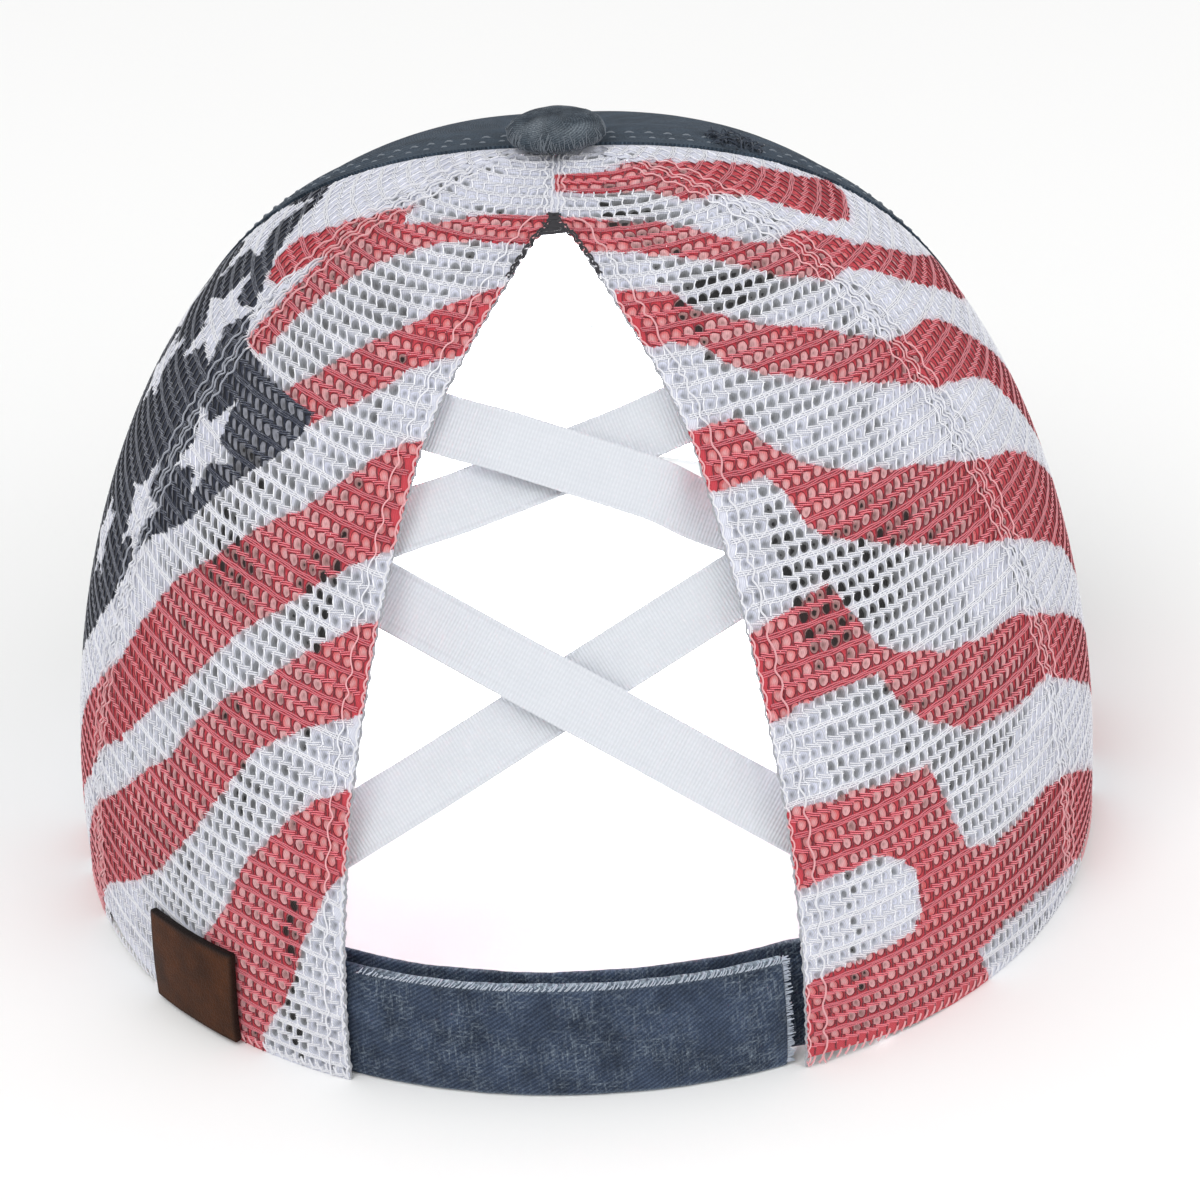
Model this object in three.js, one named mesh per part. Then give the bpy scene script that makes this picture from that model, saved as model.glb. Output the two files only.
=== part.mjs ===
// A ponytail baseball cap, in millimetres, +Z up. It stands on its rim as it would on a table.
// The visor points to -Y, the ponytail opening to +Y, and the wearer's left side is +X.
// The origin is on the table, under the middle of the whole cap's box.

import * as THREE from "three";
import { ParametricGeometry } from "three/addons/geometries/ParametricGeometry.js";
import { mergeGeometries, mergeVertices } from "three/addons/utils/BufferGeometryUtils.js";

const { degToRad, radToDeg, lerp, clamp, smoothstep } = THREE.MathUtils;

// Crown: the hollow dome of six panels. Its widest line is the X axis of the crown's own frame.
const crown = {
  halfWidth: 86,
  lengthBack: 98,
  lengthFront: 102,
  height: 119,
  buttonBehindMiddle: 4,
  rimDrawnIn: 0.7,
  drawnInHeight: 30,
};

// How full the dome is: 2 is an ellipse, more is boxier and less is more pointed.
const fullness = {
  side: 2.27,
  back: 1.7,
  front: 1.9,
  planFront: 2.25,
  plan: 2.04,
};

// The rim rises in the middle of the front, from one end of the visor's root to the other.
const frontRise = 19;
const riseShape = 1.6;

// The wall's lowest part stands upright, so that the rim's edge is level.
const uprightRim = 3;

// Walls and clearances.
const wall = {
  netting: 1.4,
  cotton: 1.8,
};
const gap = 0.3;

// Seams, as angles round the crown from the back centre. They all run up to the button.
const seam = {
  side: 66,
  frontAtRim: 120,
  frontAtButton: 90,
};

// The panels leave a small round hole under the button.
const topHoleRadius = 3.4;

// Ponytail opening in the back: its width at the rim, and how far its pointed top is behind the button's centre.
const opening = {
  width: 71.5,
  topBehindButton: 19.7,
};

// The opening's outline: climb is a share of the way up it, spread a share of its half width.
const openingOutline = [
  { climb: 0, spread: 0.98 },
  { climb: 0.3, spread: 1 },
  { climb: 0.5, spread: 0.985 },
  { climb: 0.68, spread: 0.96 },
  { climb: 0.73, spread: 0.92 },
  { climb: 0.78, spread: 0.86 },
  { climb: 0.83, spread: 0.77 },
  { climb: 0.88, spread: 0.65 },
  { climb: 0.93, spread: 0.5 },
  { climb: 0.97, spread: 0.31 },
  { climb: 1, spread: 0 },
];

// Elastic straps that cross the opening. Their ends are sewn to the inner faces of the back panels.
const elastic = {
  width: 10,
  thickness: 1.2,
  sewnUnder: 6,
  clearance: 0.55,
};

// Heights above the table where the middle of a strap passes the opening's edge.
const strapHeights = {
  upperHigh: 93,
  upperLow: 77,
  lowerHigh: 71,
  lowerLow: 33,
};

// A strap's layer along its run from its high end: 1 is one strap thickness outwards.
const upperFrontLayers = [
  { along: 0, layer: 0 },
  { along: 0.18, layer: 0.2 },
  { along: 0.27, layer: 1.05 },
  { along: 0.74, layer: 1.05 },
  { along: 0.86, layer: -1.5 },
  { along: 1, layer: -1.5 },
];
const lowerFrontLayers = [
  { along: 0, layer: -1.3 },
  { along: 0.14, layer: -1.2 },
  { along: 0.3, layer: 0.4 },
  { along: 0.4, layer: 0.75 },
  { along: 0.6, layer: 0.75 },
  { along: 0.85, layer: 0.1 },
  { along: 1, layer: 0 },
];
const behindLayers = [
  { along: 0, layer: 0 },
  { along: 0.12, layer: 0 },
  { along: 0.24, layer: -0.9 },
  { along: 0.76, layer: -0.9 },
  { along: 0.88, layer: 0 },
  { along: 1, layer: 0 },
];

// Closure at the rim: two cotton straps that overlap, held by a hook and loop patch between them.
const closure = {
  height: 19,
  thickness: 1.8,
  patchThickness: 1.2,
  patchHeight: 13,
  patchLength: 38,
  sewnUnder: 14,
  outerStopsShort: 2.4,
  innerRunsPast: 5,
  innerRaised: 0.6,
};

// Sweatband inside the rim.
const sweatband = {
  height: 29,
  thickness: 1.2,
  aboveRim: 0.4,
  clearance: 0.6,
  startsPastStrap: 3,
};

// Visor: a curved bill whose root follows the front of the rim.
const visor = {
  halfWidth: 82,
  reach: 68,
  thickness: 3.2,
  rootAngle: 117,
  cornerBehindRoot: 1.5,
  fullness: 2.3,
  droop: 3,
  rootGap: 0.5,
};

// Covered button on the top of the crown.
const button = {
  diameter: 16,
  height: 5.2,
  edgeHeight: 1.2,
};

// Leather label on the outside of the left back panel.
const label = {
  width: 20,
  height: 15.5,
  thickness: 1.4,
  angle: 44,
  aboveRim: 0.6,
};

const colours = {
  navyCotton: "#33415a",
  printedNetting: "#c9a6a8",
  whiteElastic: "#f0f1f4",
  whiteBand: "#e9e9ea",
  blackPatch: "#23262d",
  brownLeather: "#6b3d22",
};

// A value from a table of rows, at a place between the rows' own places.
function fromTable(rows, place, column, at) {
  const x = clamp(at, rows[0][place], rows[rows.length - 1][place]);
  const i = Math.max(1, rows.findIndex((row) => row[place] >= x));
  const share = (x - rows[i - 1][place]) / (rows[i][place] - rows[i - 1][place]);
  return lerp(rows[i - 1][column], rows[i][column], share);
}

// The dome's fullness in the upright direction, which turns smoothly from back to side to front.
function uprightFullness(angle) {
  const towardBack = Math.cos(degToRad(angle));
  const end = towardBack > 0 ? fullness.back : fullness.front;
  return lerp(fullness.side, end, towardBack ** 2);
}

// Height of the rim at an angle from the back centre.
function rimHeight(angle) {
  const start = -Math.cos(degToRad(visor.rootAngle));
  const share = clamp((-Math.cos(degToRad(angle)) - start) / (1 - start), 0, 1);
  return frontRise * share ** riseShape;
}

// The climb, from 0 at the rim to 90 at the top, at which the crown reaches a height.
function climbAtHeight(angle, height) {
  const share = clamp(height / crown.height, 0, 1);
  return radToDeg(Math.asin(share ** (uprightFullness(angle) / 2)));
}

// A point on the crown's outer face.
function crownFace(angle, climb) {
  const s = Math.sin(degToRad(angle));
  const c = Math.cos(degToRad(angle));
  const power = 2 / uprightFullness(angle);
  const plan = c > 0 ? fullness.plan : fullness.planFront;
  const round = (Math.abs(s) ** plan + Math.abs(c) ** plan) ** (-1 / plan);
  const inward = Math.cos(degToRad(climb)) ** power;
  const upward = Math.sin(degToRad(climb)) ** power;
  const rim = rimHeight(angle);
  const z = lerp(rim, crown.height, upward);
  const nearRim = clamp(1 - (z - rim) / crown.drawnInHeight, 0, 1) ** 2;
  const drawn = 1 - (crown.rimDrawnIn / crown.halfWidth) * nearRim;
  const length = c > 0 ? crown.lengthBack : crown.lengthFront;
  const x = crown.halfWidth * s * round * inward * drawn;
  const y = crown.buttonBehindMiddle * (1 - inward) + length * c * round * inward * drawn;
  return new THREE.Vector3(x, y, z);
}

// The crown's outward normal, from two short steps along its face.
function crownNormal(angle, climb) {
  const step = 0.05;
  const low = clamp(climb, step, 90 - 2 * step);
  const here = crownFace(angle, low);
  const aside = crownFace(angle - step, low).sub(here);
  const above = crownFace(angle, low + step).sub(here);
  const normal = aside.cross(above).normalize();
  const standing = clamp((crownFace(angle, climb).z - rimHeight(angle)) / uprightRim, 0, 1);
  normal.z *= standing;
  return normal.normalize();
}

// A point at a depth below the crown's outer face. A negative depth is outside it.
function crownPoint(angle, climb, depth) {
  return crownFace(angle, climb).addScaledVector(crownNormal(angle, climb), -depth);
}

// The angle that a distance along the crown takes up at a place on it.
function angleOf(distance, angle, climb) {
  const there = crownFace(angle, climb);
  const radius = Math.hypot(there.x, there.y - crown.buttonBehindMiddle);
  return radToDeg(distance / Math.max(radius, 1));
}

const openingTopShare = opening.topBehindButton / (crown.lengthBack - crown.buttonBehindMiddle);
const openingTopClimb = radToDeg(Math.acos(openingTopShare ** (fullness.back / 2)));
const topShare = (topHoleRadius / crown.halfWidth) ** (fullness.side / 2);
const topClimb = radToDeg(Math.acos(topShare));

// Half the opening's angle at a climb, and none above its top.
function openingAngle(climb) {
  const widest = radToDeg(Math.asin(opening.width / 2 / crown.halfWidth));
  return widest * fromTable(openingOutline, "climb", "spread", climb / openingTopClimb);
}

// The seam between a front panel and a side panel, on the left side.
function frontSeam(climb) {
  return lerp(seam.frontAtRim, seam.frontAtButton, (climb / 90) ** 1.5);
}

// One face of a solid block that is bent by place(u, v, w), with the third value fixed.
function bentFace(place, order, fixed, counts) {
  const at = (a, b, target) => {
    const uvw = { [order[0]]: a, [order[1]]: b, [order[2]]: fixed };
    target.copy(place(uvw.u, uvw.v, uvw.w));
  };
  return new ParametricGeometry(at, counts[order[0]], counts[order[1]]);
}

// A closed sheet with a thickness: u runs across it, v along it and w from its inner to its outer face.
function sheet(place, across, along) {
  const counts = { u: across, v: along, w: 1 };
  const faces = [
    bentFace(place, "uvw", 1, counts),
    bentFace(place, "vuw", 0, counts),
    bentFace(place, "vwu", 1, counts),
    bentFace(place, "wvu", 0, counts),
    bentFace(place, "wuv", 1, counts),
    bentFace(place, "uwv", 0, counts),
  ];
  faces.forEach((face) => {
    face.deleteAttribute("normal");
    face.deleteAttribute("uv");
  });
  const closed = mergeVertices(mergeGeometries(faces), 1e-3);
  closed.computeVertexNormals();
  return closed;
}

function cloth(colour) {
  return new THREE.MeshStandardMaterial({ color: colour, roughness: 0.9, metalness: 0 });
}

function named(name, geometry, material) {
  const mesh = new THREE.Mesh(geometry, material);
  mesh.name = name;
  return mesh;
}

// A panel between two seams, given as the larger and the smaller angle at each climb.
function panel(name, thickness, largerAngle, smallerAngle, climbOf, rows, colour) {
  const columns = 9;
  const place = (u, v, w) => {
    const climb = climbOf(v);
    const from = largerAngle(climb);
    const to = smallerAngle(climb);
    const fromGap = angleOf(gap / 2, from, climb);
    const toGap = angleOf(gap / 2, to, climb);
    return crownPoint(lerp(from - fromGap, to + toGap, u), climb, lerp(thickness, 0, w));
  };
  return named(name, sheet(place, columns, rows), cloth(colour));
}

// The back panels have a row of faces right at the opening's top.
function backClimb(v) {
  const below = 0.8;
  if (v <= below) return (openingTopClimb * v) / below;
  return lerp(openingTopClimb, topClimb, (v - below) / (1 - below));
}

function evenClimb(v) {
  return topClimb * v;
}

function crownPanels() {
  const sideSeam = () => seam.side;
  const centre = () => 180;
  const mirrored = (angleAt) => (climb) => -angleAt(climb);
  const backRows = 20;
  const rows = 14;
  const net = colours.printedNetting;
  const navy = colours.navyCotton;
  const right = {
    sideSeam: mirrored(sideSeam),
    frontSeam: mirrored(frontSeam),
    centre: mirrored(centre),
    openingEdge: mirrored(openingAngle),
  };
  return [
    panel("back_panel_left", wall.netting, sideSeam, openingAngle, backClimb, backRows, net),
    panel("back_panel_right", wall.netting, right.openingEdge, right.sideSeam, backClimb, backRows, net),
    panel("side_panel_left", wall.netting, frontSeam, sideSeam, evenClimb, rows, net),
    panel("side_panel_right", wall.netting, right.sideSeam, right.frontSeam, evenClimb, rows, net),
    panel("front_panel_left", wall.cotton, centre, frontSeam, evenClimb, rows, navy),
    panel("front_panel_right", wall.cotton, right.frontSeam, right.centre, evenClimb, rows, navy),
  ];
}

function topButton() {
  const radius = button.diameter / 2;
  const rim = new THREE.EllipseCurve(0, button.edgeHeight, radius, button.height - button.edgeHeight, 0, Math.PI / 2);
  const profile = [new THREE.Vector2(0, 0), new THREE.Vector2(radius * 0.9, 0), ...rim.getPoints(6)];
  profile[profile.length - 1].x = 0;
  const dome = new THREE.LatheGeometry(profile, 24);
  dome.rotateX(Math.PI / 2);
  const mesh = named("top_button", dome, cloth(colours.navyCotton));
  mesh.position.set(0, crown.buttonBehindMiddle, crown.height + gap);
  return mesh;
}

// The bill's root lies just outside the rim, and its edge is a half oval in front of it.
function visorPiece() {
  const corner = crownFace(visor.rootAngle, 0);
  const frontY = crownFace(180, 0).y - visor.reach;
  const cornerY = corner.y + visor.cornerBehindRoot;
  const place = (u, v, w) => {
    const side = lerp(1, -1, u);
    const angle = 180 - side * (180 - visor.rootAngle);
    const root = crownPoint(angle, 0, -visor.rootGap);
    const turn = (side * Math.PI) / 2;
    const power = 2 / visor.fullness;
    const edgeX = visor.halfWidth * Math.sign(turn) * Math.abs(Math.sin(turn)) ** power;
    const edgeY = lerp(cornerY, frontY, Math.cos(turn) ** power);
    const rise = rimHeight(angle);
    const droop = (visor.droop * rise * v) / frontRise;
    const x = lerp(root.x, edgeX, v);
    const y = lerp(root.y, edgeY, v);
    return new THREE.Vector3(x, y, rise - droop + visor.thickness * w);
  };
  return named("visor", sheet(place, 28, 7), cloth(colours.navyCotton));
}

const outerStrapDepth = wall.netting + gap;
const patchDepth = outerStrapDepth + closure.thickness + gap;
const innerStrapDepth = patchDepth + closure.patchThickness + gap;
const openingRimAngle = openingAngle(0);
const closureEndAngle = openingRimAngle + angleOf(closure.sewnUnder, openingRimAngle, 0);

// A band round the crown between two angles and two heights, at a depth that may change along it.
function band(name, from, to, low, high, depthAt, thickness, columns, rows, colour) {
  const place = (u, v, w) => {
    const angle = lerp(from, to, u);
    const rim = rimHeight(angle);
    const share = (lerp(low, high, v) * crown.height) / (crown.height - rim);
    const climb = climbAtHeight(angle, share);
    return crownPoint(angle, climb, depthAt(angle) + lerp(thickness, 0, w));
  };
  return named(name, sheet(place, columns, rows), cloth(colour));
}

// The outer strap comes from under the left panel and lies over the inner one, which comes from the right.
function closurePieces() {
  const stop = openingRimAngle - angleOf(closure.outerStopsShort, openingRimAngle, 0);
  const past = openingRimAngle + angleOf(closure.innerRunsPast, openingRimAngle, 0);
  const patchHalf = angleOf(closure.patchLength / 2, 0, 0);
  const patchLow = (closure.height - closure.patchHeight) / 2;
  const navy = colours.navyCotton;
  const outerDepth = () => outerStrapDepth;
  const innerDepth = (angle) => {
    const under = smoothstep(angle, -closureEndAngle, -stop);
    return lerp(outerStrapDepth, innerStrapDepth, under);
  };
  const raised = closure.innerRaised;
  const tall = closure.height;
  return [
    band("closure_strap_outer", closureEndAngle, -stop, 0, tall, outerDepth, closure.thickness, 24, 4, navy),
    band("closure_strap_inner", past, -closureEndAngle, raised, tall + raised, innerDepth,
      closure.thickness, 24, 4, navy),
    band("closure_patch", patchHalf, -patchHalf, patchLow, patchLow + closure.patchHeight,
      () => patchDepth, closure.patchThickness, 12, 3, colours.blackPatch),
  ];
}

// The sweatband runs round the inside of the rim, from one closure strap to the other.
function sweatbandPiece() {
  const start = closureEndAngle + angleOf(sweatband.startsPastStrap, closureEndAngle, 0);
  const depth = wall.cotton + sweatband.clearance;
  return band("sweatband", 360 - start, start, sweatband.aboveRim, sweatband.aboveRim + sweatband.height,
    () => depth, sweatband.thickness, 44, 3, colours.whiteBand);
}

// An elastic strap from a high place on one edge of the opening to a low place on the other.
function elasticStrap(name, highSide, highHeight, lowHeight, layers) {
  const depth = wall.netting + elastic.clearance;
  const end = (side, height) => {
    const climb = climbAtHeight(0, height);
    const edge = openingAngle(climb);
    const angle = side * (edge + angleOf(elastic.sewnUnder, edge, climb));
    return { point: crownPoint(angle, climb, depth), normal: crownNormal(angle, climb) };
  };
  const high = end(highSide, highHeight);
  const low = end(-highSide, lowHeight);
  const run = low.point.clone().sub(high.point).normalize();
  const place = (u, v, w) => {
    const out = high.normal.clone().lerp(low.normal, v).normalize();
    const across = out.clone().cross(run).normalize();
    const layer = fromTable(layers, "along", "layer", v) * (elastic.thickness + gap);
    const point = high.point.clone().lerp(low.point, v);
    point.addScaledVector(out, layer + lerp(-elastic.thickness, 0, w));
    return point.addScaledVector(across, lerp(elastic.width, -elastic.width, u) / 2);
  };
  return named(name, sheet(place, 2, 16), cloth(colours.whiteElastic));
}

function elasticStraps() {
  const heights = strapHeights;
  return [
    elasticStrap("cross_strap_upper_front", 1, heights.upperHigh, heights.upperLow, upperFrontLayers),
    elasticStrap("cross_strap_upper_behind", -1, heights.upperHigh, heights.upperLow, behindLayers),
    elasticStrap("cross_strap_lower_front", 1, heights.lowerHigh, heights.lowerLow, lowerFrontLayers),
    elasticStrap("cross_strap_lower_behind", -1, heights.lowerHigh, heights.lowerLow, behindLayers),
  ];
}

function leatherLabel() {
  const half = angleOf(label.width / 2, label.angle, 0);
  const top = label.aboveRim + label.height;
  return band("leather_label", label.angle + half, label.angle - half, label.aboveRim, top,
    () => -(label.thickness + gap), label.thickness, 6, 3, colours.brownLeather);
}

const cap = new THREE.Group();
cap.add(...crownPanels(), topButton(), visorPiece(), sweatbandPiece());
cap.add(...closurePieces(), ...elasticStraps(), leatherLabel());

// The crown is built about its widest line, and the whole cap is then moved to stand over the origin.
const box = new THREE.Box3().setFromObject(cap);
cap.position.set(0, -(box.min.y + box.max.y) / 2, -box.min.z);

export default cap;
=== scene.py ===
"""A ponytail baseball cap: printed netting, washed cotton and white elastic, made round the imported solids.

Lengths of the cap's parts are in millimetres and angles in degrees, as in the solids' own source.
An angle of 0 is the middle of the back, and angles grow toward the wearer's left, which is +X.
The climb is 0 at the rim and 90 at the top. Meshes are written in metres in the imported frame.
"""

import math

import bpy
import numpy as np
from mathutils import Matrix, Vector


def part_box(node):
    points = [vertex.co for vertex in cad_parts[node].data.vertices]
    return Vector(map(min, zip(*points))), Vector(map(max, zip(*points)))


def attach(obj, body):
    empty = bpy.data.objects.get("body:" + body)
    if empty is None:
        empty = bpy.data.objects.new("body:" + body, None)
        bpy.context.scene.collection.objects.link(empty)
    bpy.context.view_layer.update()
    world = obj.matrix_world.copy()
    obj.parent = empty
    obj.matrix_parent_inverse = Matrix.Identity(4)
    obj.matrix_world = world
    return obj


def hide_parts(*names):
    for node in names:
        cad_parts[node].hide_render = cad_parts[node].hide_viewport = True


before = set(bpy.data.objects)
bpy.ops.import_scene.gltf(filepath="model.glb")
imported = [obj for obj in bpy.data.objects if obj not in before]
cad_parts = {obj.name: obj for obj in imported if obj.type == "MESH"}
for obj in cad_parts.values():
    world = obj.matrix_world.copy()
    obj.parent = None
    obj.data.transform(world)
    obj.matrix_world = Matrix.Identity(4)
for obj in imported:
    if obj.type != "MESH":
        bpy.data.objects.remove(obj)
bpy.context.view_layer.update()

MM = 0.001
dice = np.random.default_rng(17)

# Crown, with the same sizes as the solids.
CROWN_HALF_WIDTH = 86
CROWN_LENGTH_BACK = 98
CROWN_LENGTH_FRONT = 102
CROWN_HEIGHT = 119
BUTTON_BEHIND_MIDDLE = 4
RIM_DRAWN_IN = 0.7
DRAWN_IN_HEIGHT = 30
FULL_SIDE = 2.27
FULL_BACK = 1.7
FULL_FRONT = 1.9
PLAN_FRONT = 2.25
PLAN_BACK = 2.04
FRONT_RISE = 19
RISE_SHAPE = 1.6
UPRIGHT_RIM = 3
GAP = 0.3

SIDE_SEAM = 66
FRONT_SEAM_AT_RIM = 120
FRONT_SEAM_AT_BUTTON = 90
TOP_HOLE_RADIUS = 3.4

OPENING_WIDTH = 71.5
OPENING_TOP_BEHIND_BUTTON = 19.7
OPENING_CLIMBS = [0, 0.3, 0.5, 0.68, 0.73, 0.78, 0.83, 0.88, 0.93, 0.97, 1]
OPENING_SPREADS = [0.98, 1, 0.985, 0.96, 0.92, 0.86, 0.77, 0.65, 0.5, 0.31, 0]

VISOR_ROOT_ANGLE = 117

# The solids' own middle and table height, read from the button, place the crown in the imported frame.
button_low, button_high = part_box("top_button")
SHIFT = np.array([
    0,
    (button_low.y + button_high.y) / 2 / MM - BUTTON_BEHIND_MIDDLE,
    button_low.z / MM - CROWN_HEIGHT - GAP,
])


def in_frame(points):
    """Points of the crown's own frame, in millimetres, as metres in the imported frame."""
    return (np.asarray(points, float) + SHIFT) * MM


def upright_fullness(angle):
    toward_back = np.cos(np.radians(angle))
    end = np.where(toward_back > 0, FULL_BACK, FULL_FRONT)
    return FULL_SIDE + (end - FULL_SIDE) * toward_back**2


def rim_height(angle):
    start = -math.cos(math.radians(VISOR_ROOT_ANGLE))
    share = np.clip((-np.cos(np.radians(angle)) - start) / (1 - start), 0, 1)
    return FRONT_RISE * share**RISE_SHAPE


def climb_at_height(angle, height):
    share = np.clip(np.asarray(height, float) / CROWN_HEIGHT, 0, 1)
    return np.degrees(np.arcsin(share ** (upright_fullness(angle) / 2)))


def crown_face(angle, climb):
    """Points of the crown's outer face."""
    s, c = np.sin(np.radians(angle)), np.cos(np.radians(angle))
    power = 2 / upright_fullness(angle)
    plan = np.where(c > 0, PLAN_BACK, PLAN_FRONT)
    around = (np.abs(s) ** plan + np.abs(c) ** plan) ** (-1 / plan)
    inward = np.cos(np.radians(climb)) ** power
    upward = np.sin(np.radians(climb)) ** power
    rim = rim_height(angle)
    z = rim + (CROWN_HEIGHT - rim) * upward
    drawn = 1 - RIM_DRAWN_IN / CROWN_HALF_WIDTH * np.clip(1 - (z - rim) / DRAWN_IN_HEIGHT, 0, 1) ** 2
    length = np.where(c > 0, CROWN_LENGTH_BACK, CROWN_LENGTH_FRONT)
    x = CROWN_HALF_WIDTH * s * around * inward * drawn
    y = BUTTON_BEHIND_MIDDLE * (1 - inward) + length * c * around * inward * drawn
    return np.stack(np.broadcast_arrays(x, y, z), -1)


def unit(vectors):
    return vectors / np.maximum(np.linalg.norm(vectors, axis=-1, keepdims=True), 1e-9)


def length_along(line):
    """How far along a line of points each of them is."""
    return np.concatenate([[0], np.cumsum(np.linalg.norm(np.diff(line, axis=0), axis=1))])


def crown_normal(angle, climb):
    step = 0.05
    low = np.clip(climb, step, 90 - 2 * step)
    here = crown_face(angle, low)
    aside = crown_face(angle - step, low) - here
    above = crown_face(angle, low + step) - here
    normal = unit(np.cross(aside, above))
    normal[..., 2] *= np.clip((crown_face(angle, climb)[..., 2] - rim_height(angle)) / UPRIGHT_RIM, 0, 1)
    return unit(normal)


def crown_point(angle, climb, depth):
    """Points at a depth below the crown's outer face. A negative depth is outside it."""
    angle, climb, depth = np.broadcast_arrays(*(np.asarray(v, float) for v in (angle, climb, depth)))
    return crown_face(angle, climb) - crown_normal(angle, climb) * depth[..., None]


def radius_at(angle, climb):
    there = crown_face(angle, climb)
    return np.maximum(np.hypot(there[..., 0], there[..., 1] - BUTTON_BEHIND_MIDDLE), 1)


def angle_of(distance, angle, climb):
    return np.degrees(distance / radius_at(angle, climb))


TOP_CLIMB = math.degrees(math.acos((TOP_HOLE_RADIUS / CROWN_HALF_WIDTH) ** (FULL_SIDE / 2)))
OPENING_TOP_SHARE = OPENING_TOP_BEHIND_BUTTON / (CROWN_LENGTH_BACK - BUTTON_BEHIND_MIDDLE)
OPENING_TOP_CLIMB = math.degrees(math.acos(OPENING_TOP_SHARE ** (FULL_BACK / 2)))


def opening_angle(climb):
    widest = math.degrees(math.asin(OPENING_WIDTH / 2 / CROWN_HALF_WIDTH))
    return widest * np.interp(climb / OPENING_TOP_CLIMB, OPENING_CLIMBS, OPENING_SPREADS)


def side_seam(climb):
    return SIDE_SEAM + 0 * np.asarray(climb, float)


def front_seam(climb):
    share = (np.asarray(climb, float) / 90) ** 1.5
    return FRONT_SEAM_AT_RIM + (FRONT_SEAM_AT_BUTTON - FRONT_SEAM_AT_RIM) * share


def front_centre(climb):
    return 180 + 0 * np.asarray(climb, float)


# Making of meshes.


def selected_alone(piece):
    bpy.ops.object.select_all(action="DESELECT")
    piece.select_set(True)
    bpy.context.view_layer.objects.active = piece


def mesh_piece(name, points, faces, uv):
    """A mesh from points in metres and faces, with the UV of each point."""
    mesh = bpy.data.meshes.new(name)
    mesh.from_pydata(points.tolist(), [], faces)
    piece = bpy.data.objects.new(name, mesh)
    bpy.context.scene.collection.objects.link(piece)
    layer = mesh.uv_layers.new(name="cloth")
    corner = np.empty(len(mesh.loops), np.int32)
    mesh.loops.foreach_get("vertex_index", corner)
    layer.data.foreach_set("uv", uv[corner].ravel())
    return piece


def apply_modifier(piece, kind, **settings):
    selected_alone(piece)
    modifier = piece.modifiers.new(kind.lower(), kind)
    for key, value in settings.items():
        setattr(modifier, key, value)
    bpy.ops.object.modifier_apply(modifier=modifier.name)


def smooth(piece, angle=40):
    selected_alone(piece)
    bpy.ops.object.shade_smooth_by_angle(angle=math.radians(angle))


def bent_grid(name, columns, rows, place, size, face, back, thickness=0, edge=0, edge_segments=2):
    """A grid primitive whose points are moved by place(u, v), which gives millimetres of the crown's frame.

    The UV map holds size, the cloth's own width and length in millimetres. A thickness goes inward.
    The outer side and its edges get the material face, and the inner side gets back.
    """
    bpy.ops.object.select_all(action="DESELECT")
    bpy.ops.mesh.primitive_grid_add(x_subdivisions=columns, y_subdivisions=rows, size=1)
    piece = bpy.context.object
    piece.name = piece.data.name = name
    mesh = piece.data
    flat = np.empty(len(mesh.vertices) * 3, np.float32)
    mesh.vertices.foreach_get("co", flat)
    uv = flat.reshape(-1, 3)[:, :2].astype(float) + 0.5
    mesh.vertices.foreach_set("co", in_frame(place(uv[:, 0], uv[:, 1])).ravel())
    mesh.uv_layers[0].name = "cloth"
    spread = np.empty(len(mesh.loops) * 2, np.float32)
    mesh.uv_layers[0].data.foreach_get("uv", spread)
    spread = spread.reshape(-1, 2) * np.array(size)
    mesh.uv_layers[0].data.foreach_set("uv", spread.ravel())
    mesh.update()
    paint(piece, face, back)
    if thickness:
        apply_modifier(piece, "SOLIDIFY", thickness=thickness * MM, offset=-1, material_offset=1,
                       use_even_offset=False)
    if edge:
        apply_modifier(piece, "BEVEL", width=edge * MM, segments=edge_segments, limit_method="ANGLE",
                       angle_limit=math.radians(50))
    smooth(piece)
    return piece


def threads(name, paths, radius, roundness):
    """Sewing or loose threads: one tube along each path, given in millimetres of the crown's frame.

    A tube has four sides, and two more for each step of roundness.
    """
    curve = bpy.data.curves.new(name, "CURVE")
    curve.dimensions = "3D"
    curve.bevel_depth = radius * MM
    curve.bevel_resolution = roundness
    curve.use_fill_caps = True
    for path in paths:
        spline = curve.splines.new("POLY")
        spline.points.add(len(path) - 1)
        placed = np.concatenate([in_frame(path), np.ones((len(path), 1))], 1)
        spline.points.foreach_set("co", placed.ravel())
    piece = bpy.data.objects.new(name, curve)
    bpy.context.scene.collection.objects.link(piece)
    selected_alone(piece)
    bpy.ops.object.convert(target="MESH")
    piece = bpy.context.object
    smooth(piece)
    return piece


def set_point_value(piece, name, values):
    """A value at each point, which a material reads as an attribute."""
    layer = piece.data.attributes.new(name, "FLOAT", "POINT")
    layer.data.foreach_set("value", values.astype(np.float32))


def set_wear_and_highlight(piece, wear):
    """How worn the cloth or leather is at each point, from 0 to 1. On the button it also holds a painted
    highlight on the top.
    """
    set_point_value(piece, "wear", np.clip(wear, 0, 1))


def points_of(piece):
    flat = np.empty(len(piece.data.vertices) * 3, np.float32)
    piece.data.vertices.foreach_get("co", flat)
    return flat.reshape(-1, 3).astype(float) / MM - SHIFT


def paint(piece, *materials):
    piece.data.materials.clear()
    for material in materials:
        piece.data.materials.append(material)


def finish_piece(piece, slot, *nodes):
    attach(piece, "root")
    if nodes:
        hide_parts(*nodes)
    return piece
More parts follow.
